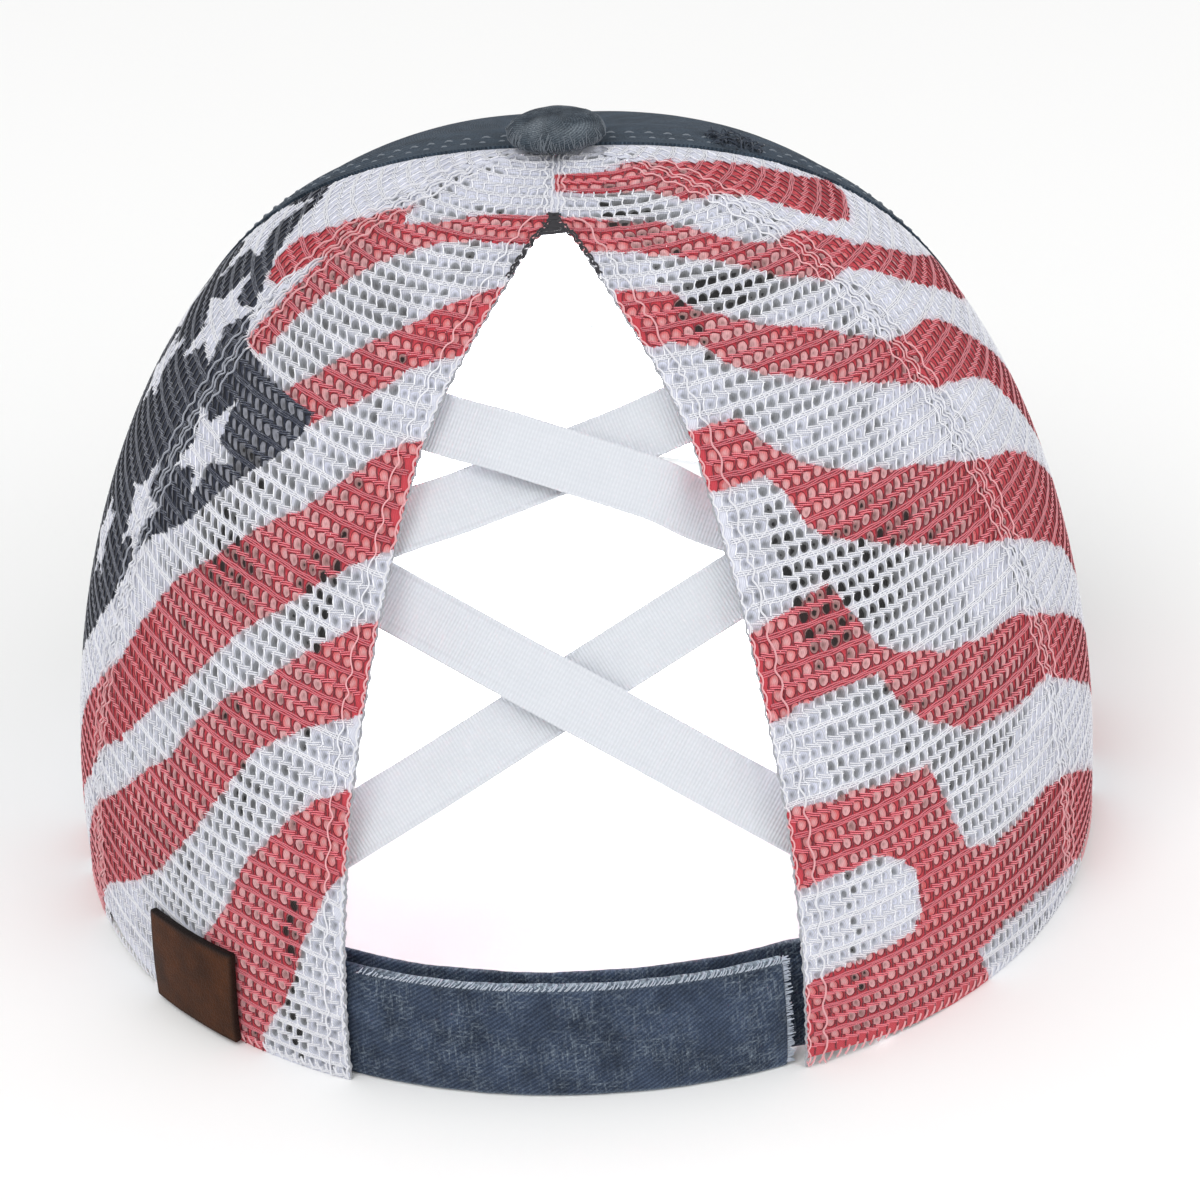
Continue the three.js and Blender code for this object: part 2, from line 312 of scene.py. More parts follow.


# Materials.

# The netting's colours in each part of the print: the sheet, the painted shade round the edges of its holes,
# the painted highlights on the raised yarns, the painted light and shade of the cap's inside in the holes,
# holes that more yarn fills, and the threads that sew the netting.
# Each print's yarn, then the painted shade round its holes and on its dark pillars, then the painted
# highlight on its raised yarns.
WHITE_YARN, WHITE_SHADE, WHITE_HIGHLIGHT = (0.66, 0.675, 0.76), (0.55, 0.56, 0.61), (0.88, 0.885, 0.93)
RED_YARN, RED_SHADE, RED_HIGHLIGHT = (0.54, 0.048, 0.068), (0.17, 0.015, 0.026), (0.90, 0.22, 0.27)
NAVY_YARN, NAVY_SHADE, NAVY_HIGHLIGHT = (0.022, 0.028, 0.050), (0.006, 0.008, 0.016), (0.055, 0.066, 0.11)
# Painted light and shade of the cap's inside as it shows in the holes: grey shade in the white and navy, and
# pale pink light in the red.
WHITE_PAINTED_INSIDE, RED_PAINTED_INSIDE, NAVY_PAINTED_INSIDE = (0.25, 0.26, 0.28), (0.76, 0.42, 0.43), (0.31, 0.32, 0.37)
WHITE_FILLED, RED_FILLED, NAVY_FILLED = (0.665, 0.685, 0.80), (0.70, 0.13, 0.14), (0.04, 0.047, 0.075)
WHITE_SEWN, RED_SEWN, NAVY_SEWN = (0.84, 0.845, 0.88), (0.84, 0.42, 0.44), (0.42, 0.44, 0.50)
# The pale flecks on the navy yarns.
NAVY_FLECK = (0.26, 0.28, 0.34)


def node(tree, kind, inputs=(), **settings):
    """A shader node with its settings, and with each input joined to a socket or set to a value."""
    made = tree.nodes.new(kind)
    for key, value in settings.items():
        setattr(made, key, value)
    for key, value in dict(inputs).items():
        if isinstance(value, bpy.types.NodeSocket):
            tree.links.new(value, made.inputs[key])
        else:
            made.inputs[key].default_value = value
    return made


def new_material(name, roughness, sheen=0.0, specular=0.3, sheen_tint=(1, 1, 1, 1)):
    material = bpy.data.materials.new(name)
    material.use_nodes = True
    tree = material.node_tree
    shader = next(n for n in tree.nodes if n.type == "BSDF_PRINCIPLED")
    shader.inputs["Roughness"].default_value = roughness
    shader.inputs["Specular IOR Level"].default_value = specular
    shader.inputs["Sheen Weight"].default_value = sheen
    shader.inputs["Sheen Roughness"].default_value = 0.5
    shader.inputs["Sheen Tint"].default_value = sheen_tint
    return material, tree, shader


def cloth_place(tree, scale=(1, 1, 1), turn=0):
    """The cloth's own UV place in millimetres, stretched by scale and turned."""
    uv = node(tree, "ShaderNodeUVMap", uv_map="cloth").outputs["UV"]
    inputs = {"Vector": uv, "Scale": scale, "Rotation": (0, 0, math.radians(turn))}
    return node(tree, "ShaderNodeMapping", inputs).outputs["Vector"]


def object_place(tree, scale):
    place = node(tree, "ShaderNodeTexCoord").outputs["Object"]
    return node(tree, "ShaderNodeMapping", {"Vector": place, "Scale": (scale,) * 3}).outputs["Vector"]


def point_value(tree, name):
    """The value that set_point_value wrote at the piece's points."""
    return node(tree, "ShaderNodeAttribute", attribute_name=name).outputs["Fac"]


def noise(tree, place, scale, detail=3, roughness=0.55):
    inputs = {"Vector": place, "Scale": scale, "Detail": detail, "Roughness": roughness}
    return node(tree, "ShaderNodeTexNoise", inputs).outputs["Fac"]


def wave(tree, place, scale, distortion=0.0, direction="X"):
    inputs = {"Vector": place, "Scale": scale, "Distortion": distortion, "Detail": 2.0, "Detail Scale": 2.0}
    return node(tree, "ShaderNodeTexWave", inputs, bands_direction=direction).outputs["Fac"]


def remap(tree, value, low, high, to_low=0.0, to_high=1.0):
    inputs = {"Value": value, "From Min": low, "From Max": high, "To Min": to_low, "To Max": to_high}
    return node(tree, "ShaderNodeMapRange", inputs).outputs["Result"]


def math_node(tree, operation, first, second):
    return node(tree, "ShaderNodeMath", {0: first, 1: second}, operation=operation).outputs["Value"]


def add(tree, first, second):
    return math_node(tree, "ADD", first, second)


def times(tree, first, second):
    return math_node(tree, "MULTIPLY", first, second)


def mix(tree, share, first, second, blend="MIX"):
    made = tree.nodes.new("ShaderNodeMix")
    made.data_type = "RGBA"
    made.blend_type = blend
    for index, value in ((0, share), (6, first), (7, second)):
        if isinstance(value, bpy.types.NodeSocket):
            tree.links.new(value, made.inputs[index])
        else:
            made.inputs[index].default_value = value if index == 0 else (*value, 1)
    return made.outputs[2]


def shade(tree, colour, share, low, high):
    """A colour multiplied by a shade between low and high."""
    return mix(tree, 1.0, colour, mix(tree, share, low, high), "MULTIPLY")


def give_colour(tree, shader, colour):
    tree.links.new(colour, shader.inputs["Base Color"])


def bump(tree, shader, height, distance, strength=1.0):
    made = node(tree, "ShaderNodeBump", {"Height": height, "Distance": distance * MM, "Strength": strength})
    tree.links.new(made.outputs["Normal"], shader.inputs["Normal"])


# A wave node's bands repeat every 2 pi / 20 of its scaled place, so this gives bands of a width in
# millimetres.
BANDS_PER_MM = 2 * math.pi / 20
# Millimetres in a metre, which turns Object coordinates into millimetres.
PER_METRE = 1000
TWILL_TURN = 58


def worn_cotton(name, colour, worn_colour, scuffs):
    """Washed twill: diagonal ribs, paler by the attribute wear, with crossed scuffs of pale fibres."""
    material, tree, shader = new_material(name, 0.9, 0.08, 0.12, (0.75, 0.82, 0.95, 1))
    ribs = wave(tree, cloth_place(tree, turn=TWILL_TURN), BANDS_PER_MM / 0.62, 0.8)
    weft = wave(tree, cloth_place(tree, turn=TWILL_TURN + 78), BANDS_PER_MM / 0.4, 0.6)
    weave = times(tree, ribs, remap(tree, weft, 0, 1, 0.6, 1.0))
    clouds = noise(tree, cloth_place(tree), 0.13, 5, 0.65)
    speckle = noise(tree, cloth_place(tree), 2.4, 3, 0.75)
    fibres = noise(tree, cloth_place(tree, (1.5, 0.3, 1), 24), 1.2, 5, 0.75)
    across = noise(tree, cloth_place(tree, (0.3, 1.5, 1), -12), 1.2, 5, 0.75)
    scratches = math_node(tree, "MAXIMUM", remap(tree, fibres, 0.5, 0.7), remap(tree, across, 0.51, 0.71))
    patches = remap(tree, noise(tree, cloth_place(tree), 0.1, 3, 0.6), 0.4, 0.6, 0.08, scuffs)
    ragged = times(tree, point_value(tree, "wear"), remap(tree, speckle, 0.35, 0.62, 0.35, 1.25))
    most = math_node(tree, "MAXIMUM", ragged, times(tree, scratches, patches))
    worn = node(tree, "ShaderNodeClamp", {"Value": most}).outputs["Result"]
    washed = [c * 1.5 for c in colour]
    faded = mix(tree, remap(tree, clouds, 0.36, 0.64), [c * 0.68 for c in colour], washed)
    base = mix(tree, worn, faded, worn_colour)
    speckled = shade(tree, base, remap(tree, speckle, 0.3, 0.7), (0.7, 0.7, 0.72), (1.35, 1.34, 1.3))
    give_colour(tree, shader, shade(tree, speckled, weave, (0.6, 0.6, 0.62), (1.22, 1.22, 1.2)))
    bump(tree, shader, add(tree, times(tree, weave, 0.6), times(tree, speckle, 0.8)), 0.2, 0.8)
    return material


def by_print(tree, white, red, navy):
    """A colour for each part of the print, told apart by how far inside its outlines the place is."""
    fray = times(tree, remap(tree, noise(tree, cloth_place(tree), 1.3, 3, 0.7), 0.2, 0.8, -1, 1), 0.22)
    red_reach = add(tree, point_value(tree, "red_reach"), fray)
    navy_reach = add(tree, point_value(tree, "navy_reach"), fray)
    stained = [w * 0.55 + r * 0.45 for w, r in zip(white, red)]
    bled = mix(tree, remap(tree, red_reach, -0.75, 0.0, 0.0, 0.3), white, stained)
    striped = mix(tree, remap(tree, red_reach, -0.07, 0.07), bled, red)
    return mix(tree, remap(tree, navy_reach, -0.07, 0.07), striped, navy)


def netting_material(name, colour_of, roughness=0.62):
    """Printed netting: colour_of builds its colour, and fine twisted yarn and uneven ink show across it."""
    material, tree, shader = new_material(name, roughness, 0.25)
    twist = wave(tree, cloth_place(tree, turn=35), BANDS_PER_MM / 0.3, 1.2)
    soak = noise(tree, cloth_place(tree), 1.7, 3, 0.7)
    patches = noise(tree, cloth_place(tree), 0.16, 3, 0.5)
    tone = add(tree, times(tree, soak, 0.6), times(tree, patches, 0.6))
    uneven = shade(tree, colour_of(tree), tone, (0.78, 0.78, 0.79), (1.2, 1.2, 1.19))
    give_colour(tree, shader, shade(tree, uneven, twist, (0.88, 0.88, 0.89), (1.06, 1.06, 1.06)))
    bump(tree, shader, add(tree, twist, soak), 0.08, 0.6)
    return material


def sheet_colour(tree):
    """Yarn painted darker round each hole: painted shade at the holes' rims."""
    uneven = times(tree, noise(tree, cloth_place(tree), 2.3, 2), 0.12)
    # The outline is painted shade, darkest at each hole's rim.
    outline = remap(tree, add(tree, point_value(tree, "from_hole"), uneven), 0.3, 0.19)
    yarn = by_print(tree, WHITE_YARN, RED_YARN, NAVY_YARN)
    return mix(tree, outline, yarn, by_print(tree, WHITE_SHADE, RED_SHADE, NAVY_SHADE))


def hole_yarn_and_painted_inside_colour(tree):
    """What shows in the holes, by the point value of their filling and shade: more yarn, a painted pale lit
    inside of the cap, and painted shade that darkens it down to black.
    """
    fill_and_shade = point_value(tree, "fill_and_shade")
    ragged = add(tree, fill_and_shade, times(tree, noise(tree, cloth_place(tree), 2.1, 3, 0.7), 0.3))
    yarn = by_print(tree, WHITE_YARN, RED_YARN, NAVY_YARN)
    more_yarn = by_print(tree, WHITE_FILLED, RED_FILLED, NAVY_FILLED)
    filled = mix(tree, remap(tree, fill_and_shade, -1.25, -1.0), yarn, more_yarn)
    # The cap's inside, as it would show through the holes, is painted: grey shade, and pale pink light in the
    # red.
    painted_cap_inside = by_print(tree, WHITE_PAINTED_INSIDE, RED_PAINTED_INSIDE, NAVY_PAINTED_INSIDE)
    pale = mix(tree, remap(tree, ragged, -0.65, 0.05), filled, painted_cap_inside)
    # Painted shade: the floors darken to dusk, and to black in the deepest shade.
    painted_dusk = shade(tree, pale, remap(tree, ragged, 0.15, 0.75), (1, 1, 1), (0.45, 0.44, 0.42))
    return shade(tree, painted_dusk, remap(tree, ragged, 0.85, 1.0), (1, 1, 1), (0.05, 0.045, 0.045))


def strand_colour(tree):
    """Yarns that stand out: pillars painted dark with painted shade and bars painted bright with painted
    highlights, in the print's colours, all pale in its white.
    """
    flecks = remap(tree, noise(tree, cloth_place(tree), 0.75, 3, 0.75), 0.53, 0.63)
    flecked = mix(tree, flecks, NAVY_HIGHLIGHT, NAVY_FLECK)
    pillars = by_print(tree, WHITE_HIGHLIGHT, RED_SHADE, NAVY_SHADE)
    # The point value tone runs from painted shade, at 0, to painted highlight, at 1.
    return mix(tree, point_value(tree, "tone"), pillars, by_print(tree, WHITE_HIGHLIGHT, RED_HIGHLIGHT, flecked))


def sewing_colour(tree):
    return by_print(tree, WHITE_SEWN, RED_SEWN, NAVY_SEWN)


def elastic_material():
    material, tree, shader = new_material("white_elastic_ribs", 0.6, 0.3)
    ribs = wave(tree, cloth_place(tree), BANDS_PER_MM / 0.52, 0.35, "Y")
    cords = wave(tree, cloth_place(tree), BANDS_PER_MM / 0.85, 0.2)
    knit = times(tree, remap(tree, ribs, 0, 1, 0.5, 1), remap(tree, cords, 0, 1, 0.75, 1))
    tone = mix(tree, noise(tree, cloth_place(tree), 0.25, 3), (0.63, 0.655, 0.70), (0.69, 0.71, 0.75))
    give_colour(tree, shader, shade(tree, tone, knit, (0.84, 0.845, 0.86), (1.04, 1.04, 1.04)))
    bump(tree, shader, knit, 0.16, 0.9)
    return material


def plain_weave(name, dark, light, thread, depth=0.1):
    """Crossed threads of a width in millimetres, dark between them and light on top."""
    material, tree, shader = new_material(name, 0.85, 0.25, 0.25)
    warp = wave(tree, cloth_place(tree), BANDS_PER_MM / thread, 0.5)
    weft = wave(tree, cloth_place(tree), BANDS_PER_MM / thread, 0.5, "Y")
    weave = times(tree, warp, weft)
    cloud = noise(tree, cloth_place(tree), 0.3, 4, 0.6)
    tone = times(tree, remap(tree, weave, 0, 1, 0.55, 1), remap(tree, cloud, 0.3, 0.7, 0.7, 1))
    give_colour(tree, shader, mix(tree, tone, dark, light))
    bump(tree, shader, weave, depth, 0.7)
    return material


def leather_material():
    material, tree, shader = new_material("brown_leather_grain", 0.62, 0.0, 0.16)
    place = object_place(tree, PER_METRE)
    cracks = {"Vector": place, "Scale": 1.5, "Randomness": 1.0}
    cells = node(tree, "ShaderNodeTexVoronoi", cracks, feature="DISTANCE_TO_EDGE").outputs["Distance"]
    grain = remap(tree, cells, 0.0, 0.16)
    cloud = noise(tree, place, 0.16, 4, 0.6)
    fine = noise(tree, place, 2.4, 4, 0.7)
    hide = mix(tree, remap(tree, cloud, 0.32, 0.68), (0.030, 0.0085, 0.0016), (0.082, 0.024, 0.005))
    speckled = mix(tree, remap(tree, fine, 0.4, 0.75, 0.0, 0.5), hide, (0.03, 0.013, 0.008))
    give_colour(tree, shader, mix(tree, point_value(tree, "wear"), speckled, (0.008, 0.004, 0.003)))
    bump(tree, shader, add(tree, grain, times(tree, fine, 0.8)), 0.07, 0.8)
    return material


def thread_material(name, colour):
    material, tree, shader = new_material(name, 0.6, 0.2, 0.35)
    place = object_place(tree, PER_METRE)
    light = [min(c * 1.25, 0.95) for c in colour]
    give_colour(tree, shader, mix(tree, noise(tree, place, 1.8, 3, 0.6), [c * 0.7 for c in colour], light))
    bump(tree, shader, noise(tree, place, 6, 2, 0.6), 0.04, 0.6)
    return material


def hook_material():
    material, tree, shader = new_material("black_hook_tape", 0.5, 0.1, 0.4)
    hooks = {"Vector": cloth_place(tree), "Scale": 1.1, "Randomness": 0.25}
    knots = node(tree, "ShaderNodeTexVoronoi", hooks).outputs["Distance"]
    between = remap(tree, knots, 0, 0.6)
    give_colour(tree, shader, mix(tree, between, (0.06, 0.065, 0.075), (0.008, 0.009, 0.012)))
    bump(tree, shader, knots, 0.4, 1.0)
    return material


navy_cotton = worn_cotton("washed_navy_cotton", (0.025, 0.040, 0.060), (0.17, 0.21, 0.25), 0.6)
button_cotton = worn_cotton("button_navy_cotton", (0.026, 0.037, 0.050), (0.25, 0.29, 0.33), 0.8)
button_fray = thread_material("button_frayed_fibres", (0.15, 0.175, 0.205))
dark_fray = thread_material("dark_frayed_thread", (0.03, 0.042, 0.065))
dark_tack = thread_material("dark_tacking_thread", (0.022, 0.021, 0.026))
grey_edging = thread_material("grey_edging_thread", (0.36, 0.37, 0.40))
strap_cotton = worn_cotton("scuffed_navy_cotton", (0.036, 0.051, 0.085), (0.32, 0.385, 0.45), 0.6)
netting_yarn = netting_material("printed_netting_sheet", sheet_colour)
# Hole floors: more yarn, and the painted light and shade of the cap's inside.
netting_hole_yarn_and_painted_inside = netting_material("netting_hole_floors_yarn_and_painted_inside", hole_yarn_and_painted_inside_colour)
netting_strand = netting_material("printed_netting_yarn", strand_colour, 0.5)
netting_sewing = netting_material("netting_sewing_thread", sewing_colour, 0.5)
white_elastic = elastic_material()
white_lining = plain_weave("white_front_lining", (0.78, 0.79, 0.82), (0.9, 0.9, 0.92), 0.5)
band_cotton = plain_weave("white_sweatband_cotton", (0.70, 0.71, 0.74), (0.88, 0.88, 0.89), 0.7, 0.14)
brown_leather = leather_material()
dull_thread = thread_material("dull_sewing_thread", (0.17, 0.2, 0.235))
pale_fray = thread_material("pale_frayed_thread", (0.45, 0.5, 0.58))
hook_tape = hook_material()


# The flag print, as outlines of angle and climb read off the cap. Right-hand angles are negative.

LEFT_STRIPES = [
    [(-1, 75.4), (15, 75.4), (30, 75.4), (40, 74.6), (50, 72.8), (57, 71.5), (60, 74.5), (65, 72.4),
     (70, 70), (75, 66.6), (79.5, 63), (78, 60.5), (74, 58.6), (70.5, 59), (68, 62.3), (65, 65.2),
     (65.2, 60), (65.4, 53.3), (60, 53.1), (58.8, 58.3), (55.5, 62.5), (52.2, 66.3), (46.6, 69.1),
     (40, 70.8), (30, 72), (15, 71.6), (-1, 71.6)],
    [(12, 67.2), (18.7, 66.2), (25, 65), (30, 63.7), (35, 61.6), (39, 59.5), (44, 56.6), (48, 54),
     (52, 51.2), (43.5, 50.2), (39, 52.8), (35, 54.9), (30, 57.4), (25.7, 58.7), (21.6, 59.5), (12, 61)],
    [(18, 52.6), (22.4, 52), (26.6, 51.6), (30, 49.9), (35, 46.6), (40, 43.2), (45, 40.7), (50, 36.6),
     (55, 33.2), (60, 27.4), (63, 23.2), (68, 19), (72.4, 15.7), (75, 13.2), (79, 8), (86, 1), (88, -2),
     (80, -2), (78, 3), (75, 6.6), (70, 10), (65, 14.5), (60, 17.4), (55, 21.6), (50, 25.7), (45, 30.7),
     (40, 34.5), (35, 37.8), (30, 40.7), (24, 43.2), (18, 44.5)],
    [(18, 38.8), (23, 38.2), (27.4, 36.6), (32.4, 34), (37.4, 30.7), (41.6, 28.2), (46.6, 24), (50, 20),
     (55, 16.6), (60, 12.8), (65, 10), (69, 7.4), (72.4, 4), (76, 0.5), (77, -2), (69, -2), (66, 2.4),
     (62, 4.6), (55, 7.8), (50, 10.7), (45, 15.7), (40.7, 20.7), (37.4, 24.9), (32.4, 27.8), (26.6, 30),
     (18, 32.5)],
    [(18, 25.4), (25.5, 24.8), (29, 23.2), (32.4, 20.8), (36.6, 16.6), (39, 12.4), (42, 8.6), (45.5, 4),
     (48, -2), (34, -2), (35, 1.6), (31.2, 6.6), (29, 12.4), (26.6, 16.6), (24.5, 19), (18, 20.5)],
]
RIGHT_STRIPES = [
    [(1, 82), (-15, 82), (-30, 82.2), (-50, 82.4), (-61.6, 83.2), (-70, 82), (-76.6, 80.7), (-81.6, 77.4),
     (-87.4, 75.3), (-92.4, 72), (-95, 68.2), (-99, 64.5), (-104, 61.6), (-99, 60.7), (-93, 60.3),
     (-86, 60.3), (-81.6, 62.8), (-78, 65.7), (-74, 69.9), (-70, 72), (-65, 73.7), (-60, 73.4),
     (-55.7, 74.5), (-50.7, 76.6), (-48, 77.8), (-40, 78.2), (-15, 78.6), (1, 79)],
    [(1, 74.9), (-15, 74.9), (-25, 74), (-40, 72.8), (-48, 70.7), (-56.6, 66.6), (-61.6, 65.3), (-70, 65),
     (-75, 62.4), (-80, 59), (-85, 56.6), (-91.6, 52.4), (-98, 49.5), (-109, 45), (-124, 41), (-124, 33),
     (-105, 40.7), (-98, 42.8), (-92.4, 46.6), (-86, 49.9), (-80, 53.2), (-75, 57), (-70, 58.7),
     (-65, 58.7), (-60, 60.7), (-55, 62.4), (-50, 64.9), (-43, 67), (-35, 68.7), (-25, 69.9), (-15, 70.3),
     (1, 70.3)],
    [(-17, 65.8), (-21.2, 65.6), (-30, 64.9), (-35, 62), (-42.4, 59.5), (-48, 57.8), (-54, 56.2),
     (-60, 53.2), (-65, 50.7), (-70, 49.9), (-76.6, 49), (-81.6, 47), (-86, 43.2), (-92, 39), (-100, 33),
     (-112, 27), (-124, 23), (-124, 14), (-104, 20), (-92, 30), (-85, 36.6), (-81.6, 39.9), (-78, 41.6),
     (-73, 43.2), (-68, 44.5), (-61.6, 47.4), (-55, 49.5), (-48, 52), (-40, 54.5), (-34, 57), (-31.6, 59),
     (-25, 59.7), (-17, 59.9)],
    [(-18, 52), (-31.6, 52), (-35, 49), (-40, 45.7), (-48, 43.2), (-56.6, 40.7), (-61.6, 39), (-68, 36.6),
     (-75, 34.5), (-80, 32.4), (-90, 26), (-105, 18), (-124, 10), (-124, 1), (-105, 7), (-88, 17),
     (-82, 22), (-76.6, 24.9), (-70, 28.2), (-65, 30.3), (-56.6, 33.2), (-48, 36.6), (-40, 39.5),
     (-36.2, 41.6), (-35, 44.5), (-32.5, 46.6), (-25, 47), (-18, 47)],
    [(-18, 35.4), (-24.2, 35.7), (-35.8, 37.2), (-37.5, 34.9), (-40, 30.7), (-48, 27.4), (-56.6, 25.3),
     (-61.6, 24.9), (-68, 22), (-75, 19), (-81.6, 15.6), (-92, 9), (-110, 0), (-112, -2), (-98, -2),
     (-90, 4), (-81, 10.3), (-76.6, 12.4), (-70, 15.7), (-65, 18.2), (-58, 18.7), (-50, 20.3),
     (-44.2, 23.2), (-40.8, 25.7), (-39.2, 29), (-31.7, 29.5), (-18, 29)],
    [(-18, 22.6), (-25, 22.4), (-35, 21.6), (-42.5, 20.3), (-44.2, 16.6), (-45.8, 12.4), (-50, 10.7),
     (-61.7, 10.3), (-66.7, 9), (-73, 6.6), (-80, 3.7), (-86, 0.7), (-88, -2), (-78, -2), (-70, 1.2),
     (-65, 2), (-58, 3.2), (-50.8, 3.7), (-46.7, 3.3), (-48, 0.7), (-49, -2), (-18, -2), (-18, 8.7),
     (-37.5, 8.7), (-38.7, 10), (-38.7, 13.2), (-37.5, 14.9), (-34, 16.2), (-18, 16.6)],
]

# The navy corner that the stars stand on.
UNION = [
    (126, 76), (102, 67), (92, 66.2), (86.6, 64), (81.6, 61.2), (75, 58.7), (70, 55.7), (65.7, 53.2),
    (60.7, 52.6), (50, 51.7), (43.6, 51.2), (44.1, 49.1), (46.6, 46.6), (50, 44.1), (54, 40.7),
    (56.6, 37.8), (60.7, 35.3), (65, 32.4), (67.4, 28.2), (70, 24.9), (74, 21), (82, 15), (96, 10),
    (126, 6),
]

# The stars: angle, climb and how far their points reach, in degrees.
STARS = [
    (98, 58, 7.5), (77.5, 52, 6.5), (60.3, 43.6, 5.2), (69, 34, 5.2), (88, 42, 5.6), (80, 27, 5),
    (100, 44, 5.6), (96, 28, 5.4), (110, 34, 5.6), (110, 18, 5), (112, 52, 6),
]

STAR_LEAN = 12
STAR_WAIST = 0.42
# How far from an outline its nearness still matters, and what stands for anything farther, in degrees.
REACH_MARGIN = 1.2
FAR = 9.0


def chart(angle, climb):
    """The crown spread out flat round the button: distance from it is what is left of the climb."""
    left = 90 - np.asarray(climb, float)
    turn = np.radians(angle)
    return np.stack([left * np.sin(turn), left * np.cos(turn)], -1)


def chart_outline(outline):
    """An outline on the chart, with its long sides cut into short steps so that they follow the crown."""
    corners = np.array(outline, float)
    steps = np.linspace(0, 1, 6, endpoint=False)[:, None, None]
    dense = (corners + (np.roll(corners, -1, 0) - corners) * steps).transpose(1, 0, 2).reshape(-1, 2)
    return chart(dense[:, 0], dense[:, 1])


def inside(places, outline):
    """Whether each place of the chart lies within an outline."""
    x, y = places[:, 0:1], places[:, 1:2]
    ax, ay = outline[:, 0], outline[:, 1]
    bx, by = np.roll(ax, -1), np.roll(ay, -1)
    crosses = ((ay > y) != (by > y)) & (x < (bx - ax) * (y - ay) / np.where(by == ay, 1e-9, by - ay) + ax)
    return crosses.sum(1) % 2 == 1


def star_outline(angle, climb, size):
    """A five-pointed star on the crown, drawn in degrees of climb."""
    middle = chart([angle], [climb])[0]
    tips = np.arange(10)
    reach = np.where(tips % 2 == 0, size, size * STAR_WAIST)
    turn = np.radians(tips * 36 + angle + STAR_LEAN)
    return middle + np.stack([reach * np.sin(turn), -reach * np.cos(turn)], -1)


def ripple(x, y, seed):
    """Smooth waves between about -1 and 1 over the cloth, the same each time."""
    made = np.random.default_rng(seed)
    total = 0
    for scale in (1, 1.9, 3.7):
        kx, ky = made.normal(0, 1, (2, 3)) * scale
        phase = made.uniform(0, 2 * math.pi, 3)
        for k in range(3):
            total = total + np.sin(kx[k] * x + ky[k] * y + phase[k]) / (3 * scale**0.5)
    return total


def reach_inside(places, outline):
    """How far inside an outline each place of the chart is, in degrees of climb, and below 0 outside it."""
    near = ((places > outline.min(0) - REACH_MARGIN) & (places < outline.max(0) + REACH_MARGIN)).all(1)
    reach = np.full(len(places), -FAR)
    reach[near] = reach_of_near(places[near], outline)
    return reach


def reach_of_near(places, outline):
    """The same for places close to the outline, against 24 of its short steps at a time."""
    ends = np.roll(outline, -1, 0)
    way = ends - outline
    nearest = np.full(len(places), np.inf)
    for start in range(0, len(outline), 24):
        part = slice(start, start + 24)
        from_start = places[:, None] - outline[part]
        share = (from_start * way[part]).sum(-1) / np.maximum((way[part] ** 2).sum(-1), 1e-9)
        away = from_start - np.clip(share, 0, 1)[..., None] * way[part]
        nearest = np.minimum(nearest, np.linalg.norm(away, axis=-1).min(1))
    return np.where(inside(places, outline), nearest, -nearest)


def print_reach(angle, climb):
    """How far inside the red and the navy of the print each place of the crown is, in degrees of climb."""
    angle = np.asarray(angle, float)
    places = chart(angle, climb)
    places = places + 0.2 * np.stack([ripple(*places.T, 3), ripple(*places.T, 4)], -1)
    red = np.full(len(places), -FAR)
    for side, stripes in ((1, LEFT_STRIPES), (-1, RIGHT_STRIPES)):
        near = angle * side > -1.5
        for stripe in stripes:
            red[near] = np.maximum(red[near], reach_inside(places[near], chart_outline(stripe)))
    navy = np.where(angle > 30, reach_inside(places, chart_outline(UNION)), -FAR)
    for star in STARS:
        navy = np.minimum(navy, -reach_inside(places, star_outline(*star)))
    return np.clip(red, -FAR, FAR), np.clip(navy, -FAR, FAR)


# Netting.

# Two rows of holes make a period. Short double bars part them, and a band of long threads parts the periods.
NET_PITCH = 1.95
NET_PERIOD = 4.9
HOLE_HALF_WIDTH = 0.69
HOLE_HALF_HEIGHT = 0.77
BAR_FALL = 0.33
SHEET_DEPTH = 0.2
HOLE_EDGE_DEPTH = 0.42
FLOOR_DEPTH = 0.72
COLUMNS_EACH_WAY = 34
LONG_THREAD_REACH = 66
OPENING_HEM = 9.6
HEM_SLITS_AT = 9.4
CRUMPLED_BY_SEAM = 3.6
NOWHERE_NEAR = 50

# Places where the hole floors are painted dark with painted shade, as of the cap's inside seen right through
# them:
# angle, climb, and reach along each.
SEE_THROUGH_SHADE = [
    (-42, 37, 14, 5), (47, 37.5, 7, 4), (32, 38, 7, 4), (-29, 9, 3, 7), (30, 8, 2, 7), (-35, 75, 9, 1.5),
    (32, 76, 9, 1.5), (-40, 63, 14, 3), (-84, 55, 6, 4), (-88, 42, 3, 3), (38, 21, 4, 3), (-31, 43, 4, 3),
]
# Places where the netting is stretched shut over a seam below it: angle, climb, and reach along each.
STRETCHED_SHUT = [
    (-58, 71, 9, 4), (-62, 43, 8, 5), (-60, 14, 9, 3), (-60, 29, 5, 3), (-52, 69, 9, 2), (62, 25, 6, 7),
    (-70, 55, 8, 4), (60, 6, 9, 2), (-32, 12, 10, 4), (-52, 57, 8, 2.5), (64, 45, 8, 8),
    (36, 79, 34, 3.6), (70, 75, 20, 6), (-76, 70, 15, 4), (-20, 83, 20, 3), (30, 62, 5, 4),
    (-28, 66, 5, 3),
]

# The angle from which the netting is drawn shut towards the side seam, on the left and on the right.
DRAWN_SHUT_FROM = {1: 61, -1: 59}

# The border of a hole's cell, as a square from -1 to 1 walked round from a lower corner.
CELL = np.array([(-1, -1), (-0.34, -1), (0.34, -1), (1, -1), (1, -0.34), (1, 0.34),
                 (1, 1), (0.34, 1), (-0.34, 1), (-1, 1), (-1, 0.34), (-1, -0.34)])
CORNERS = len(CELL)


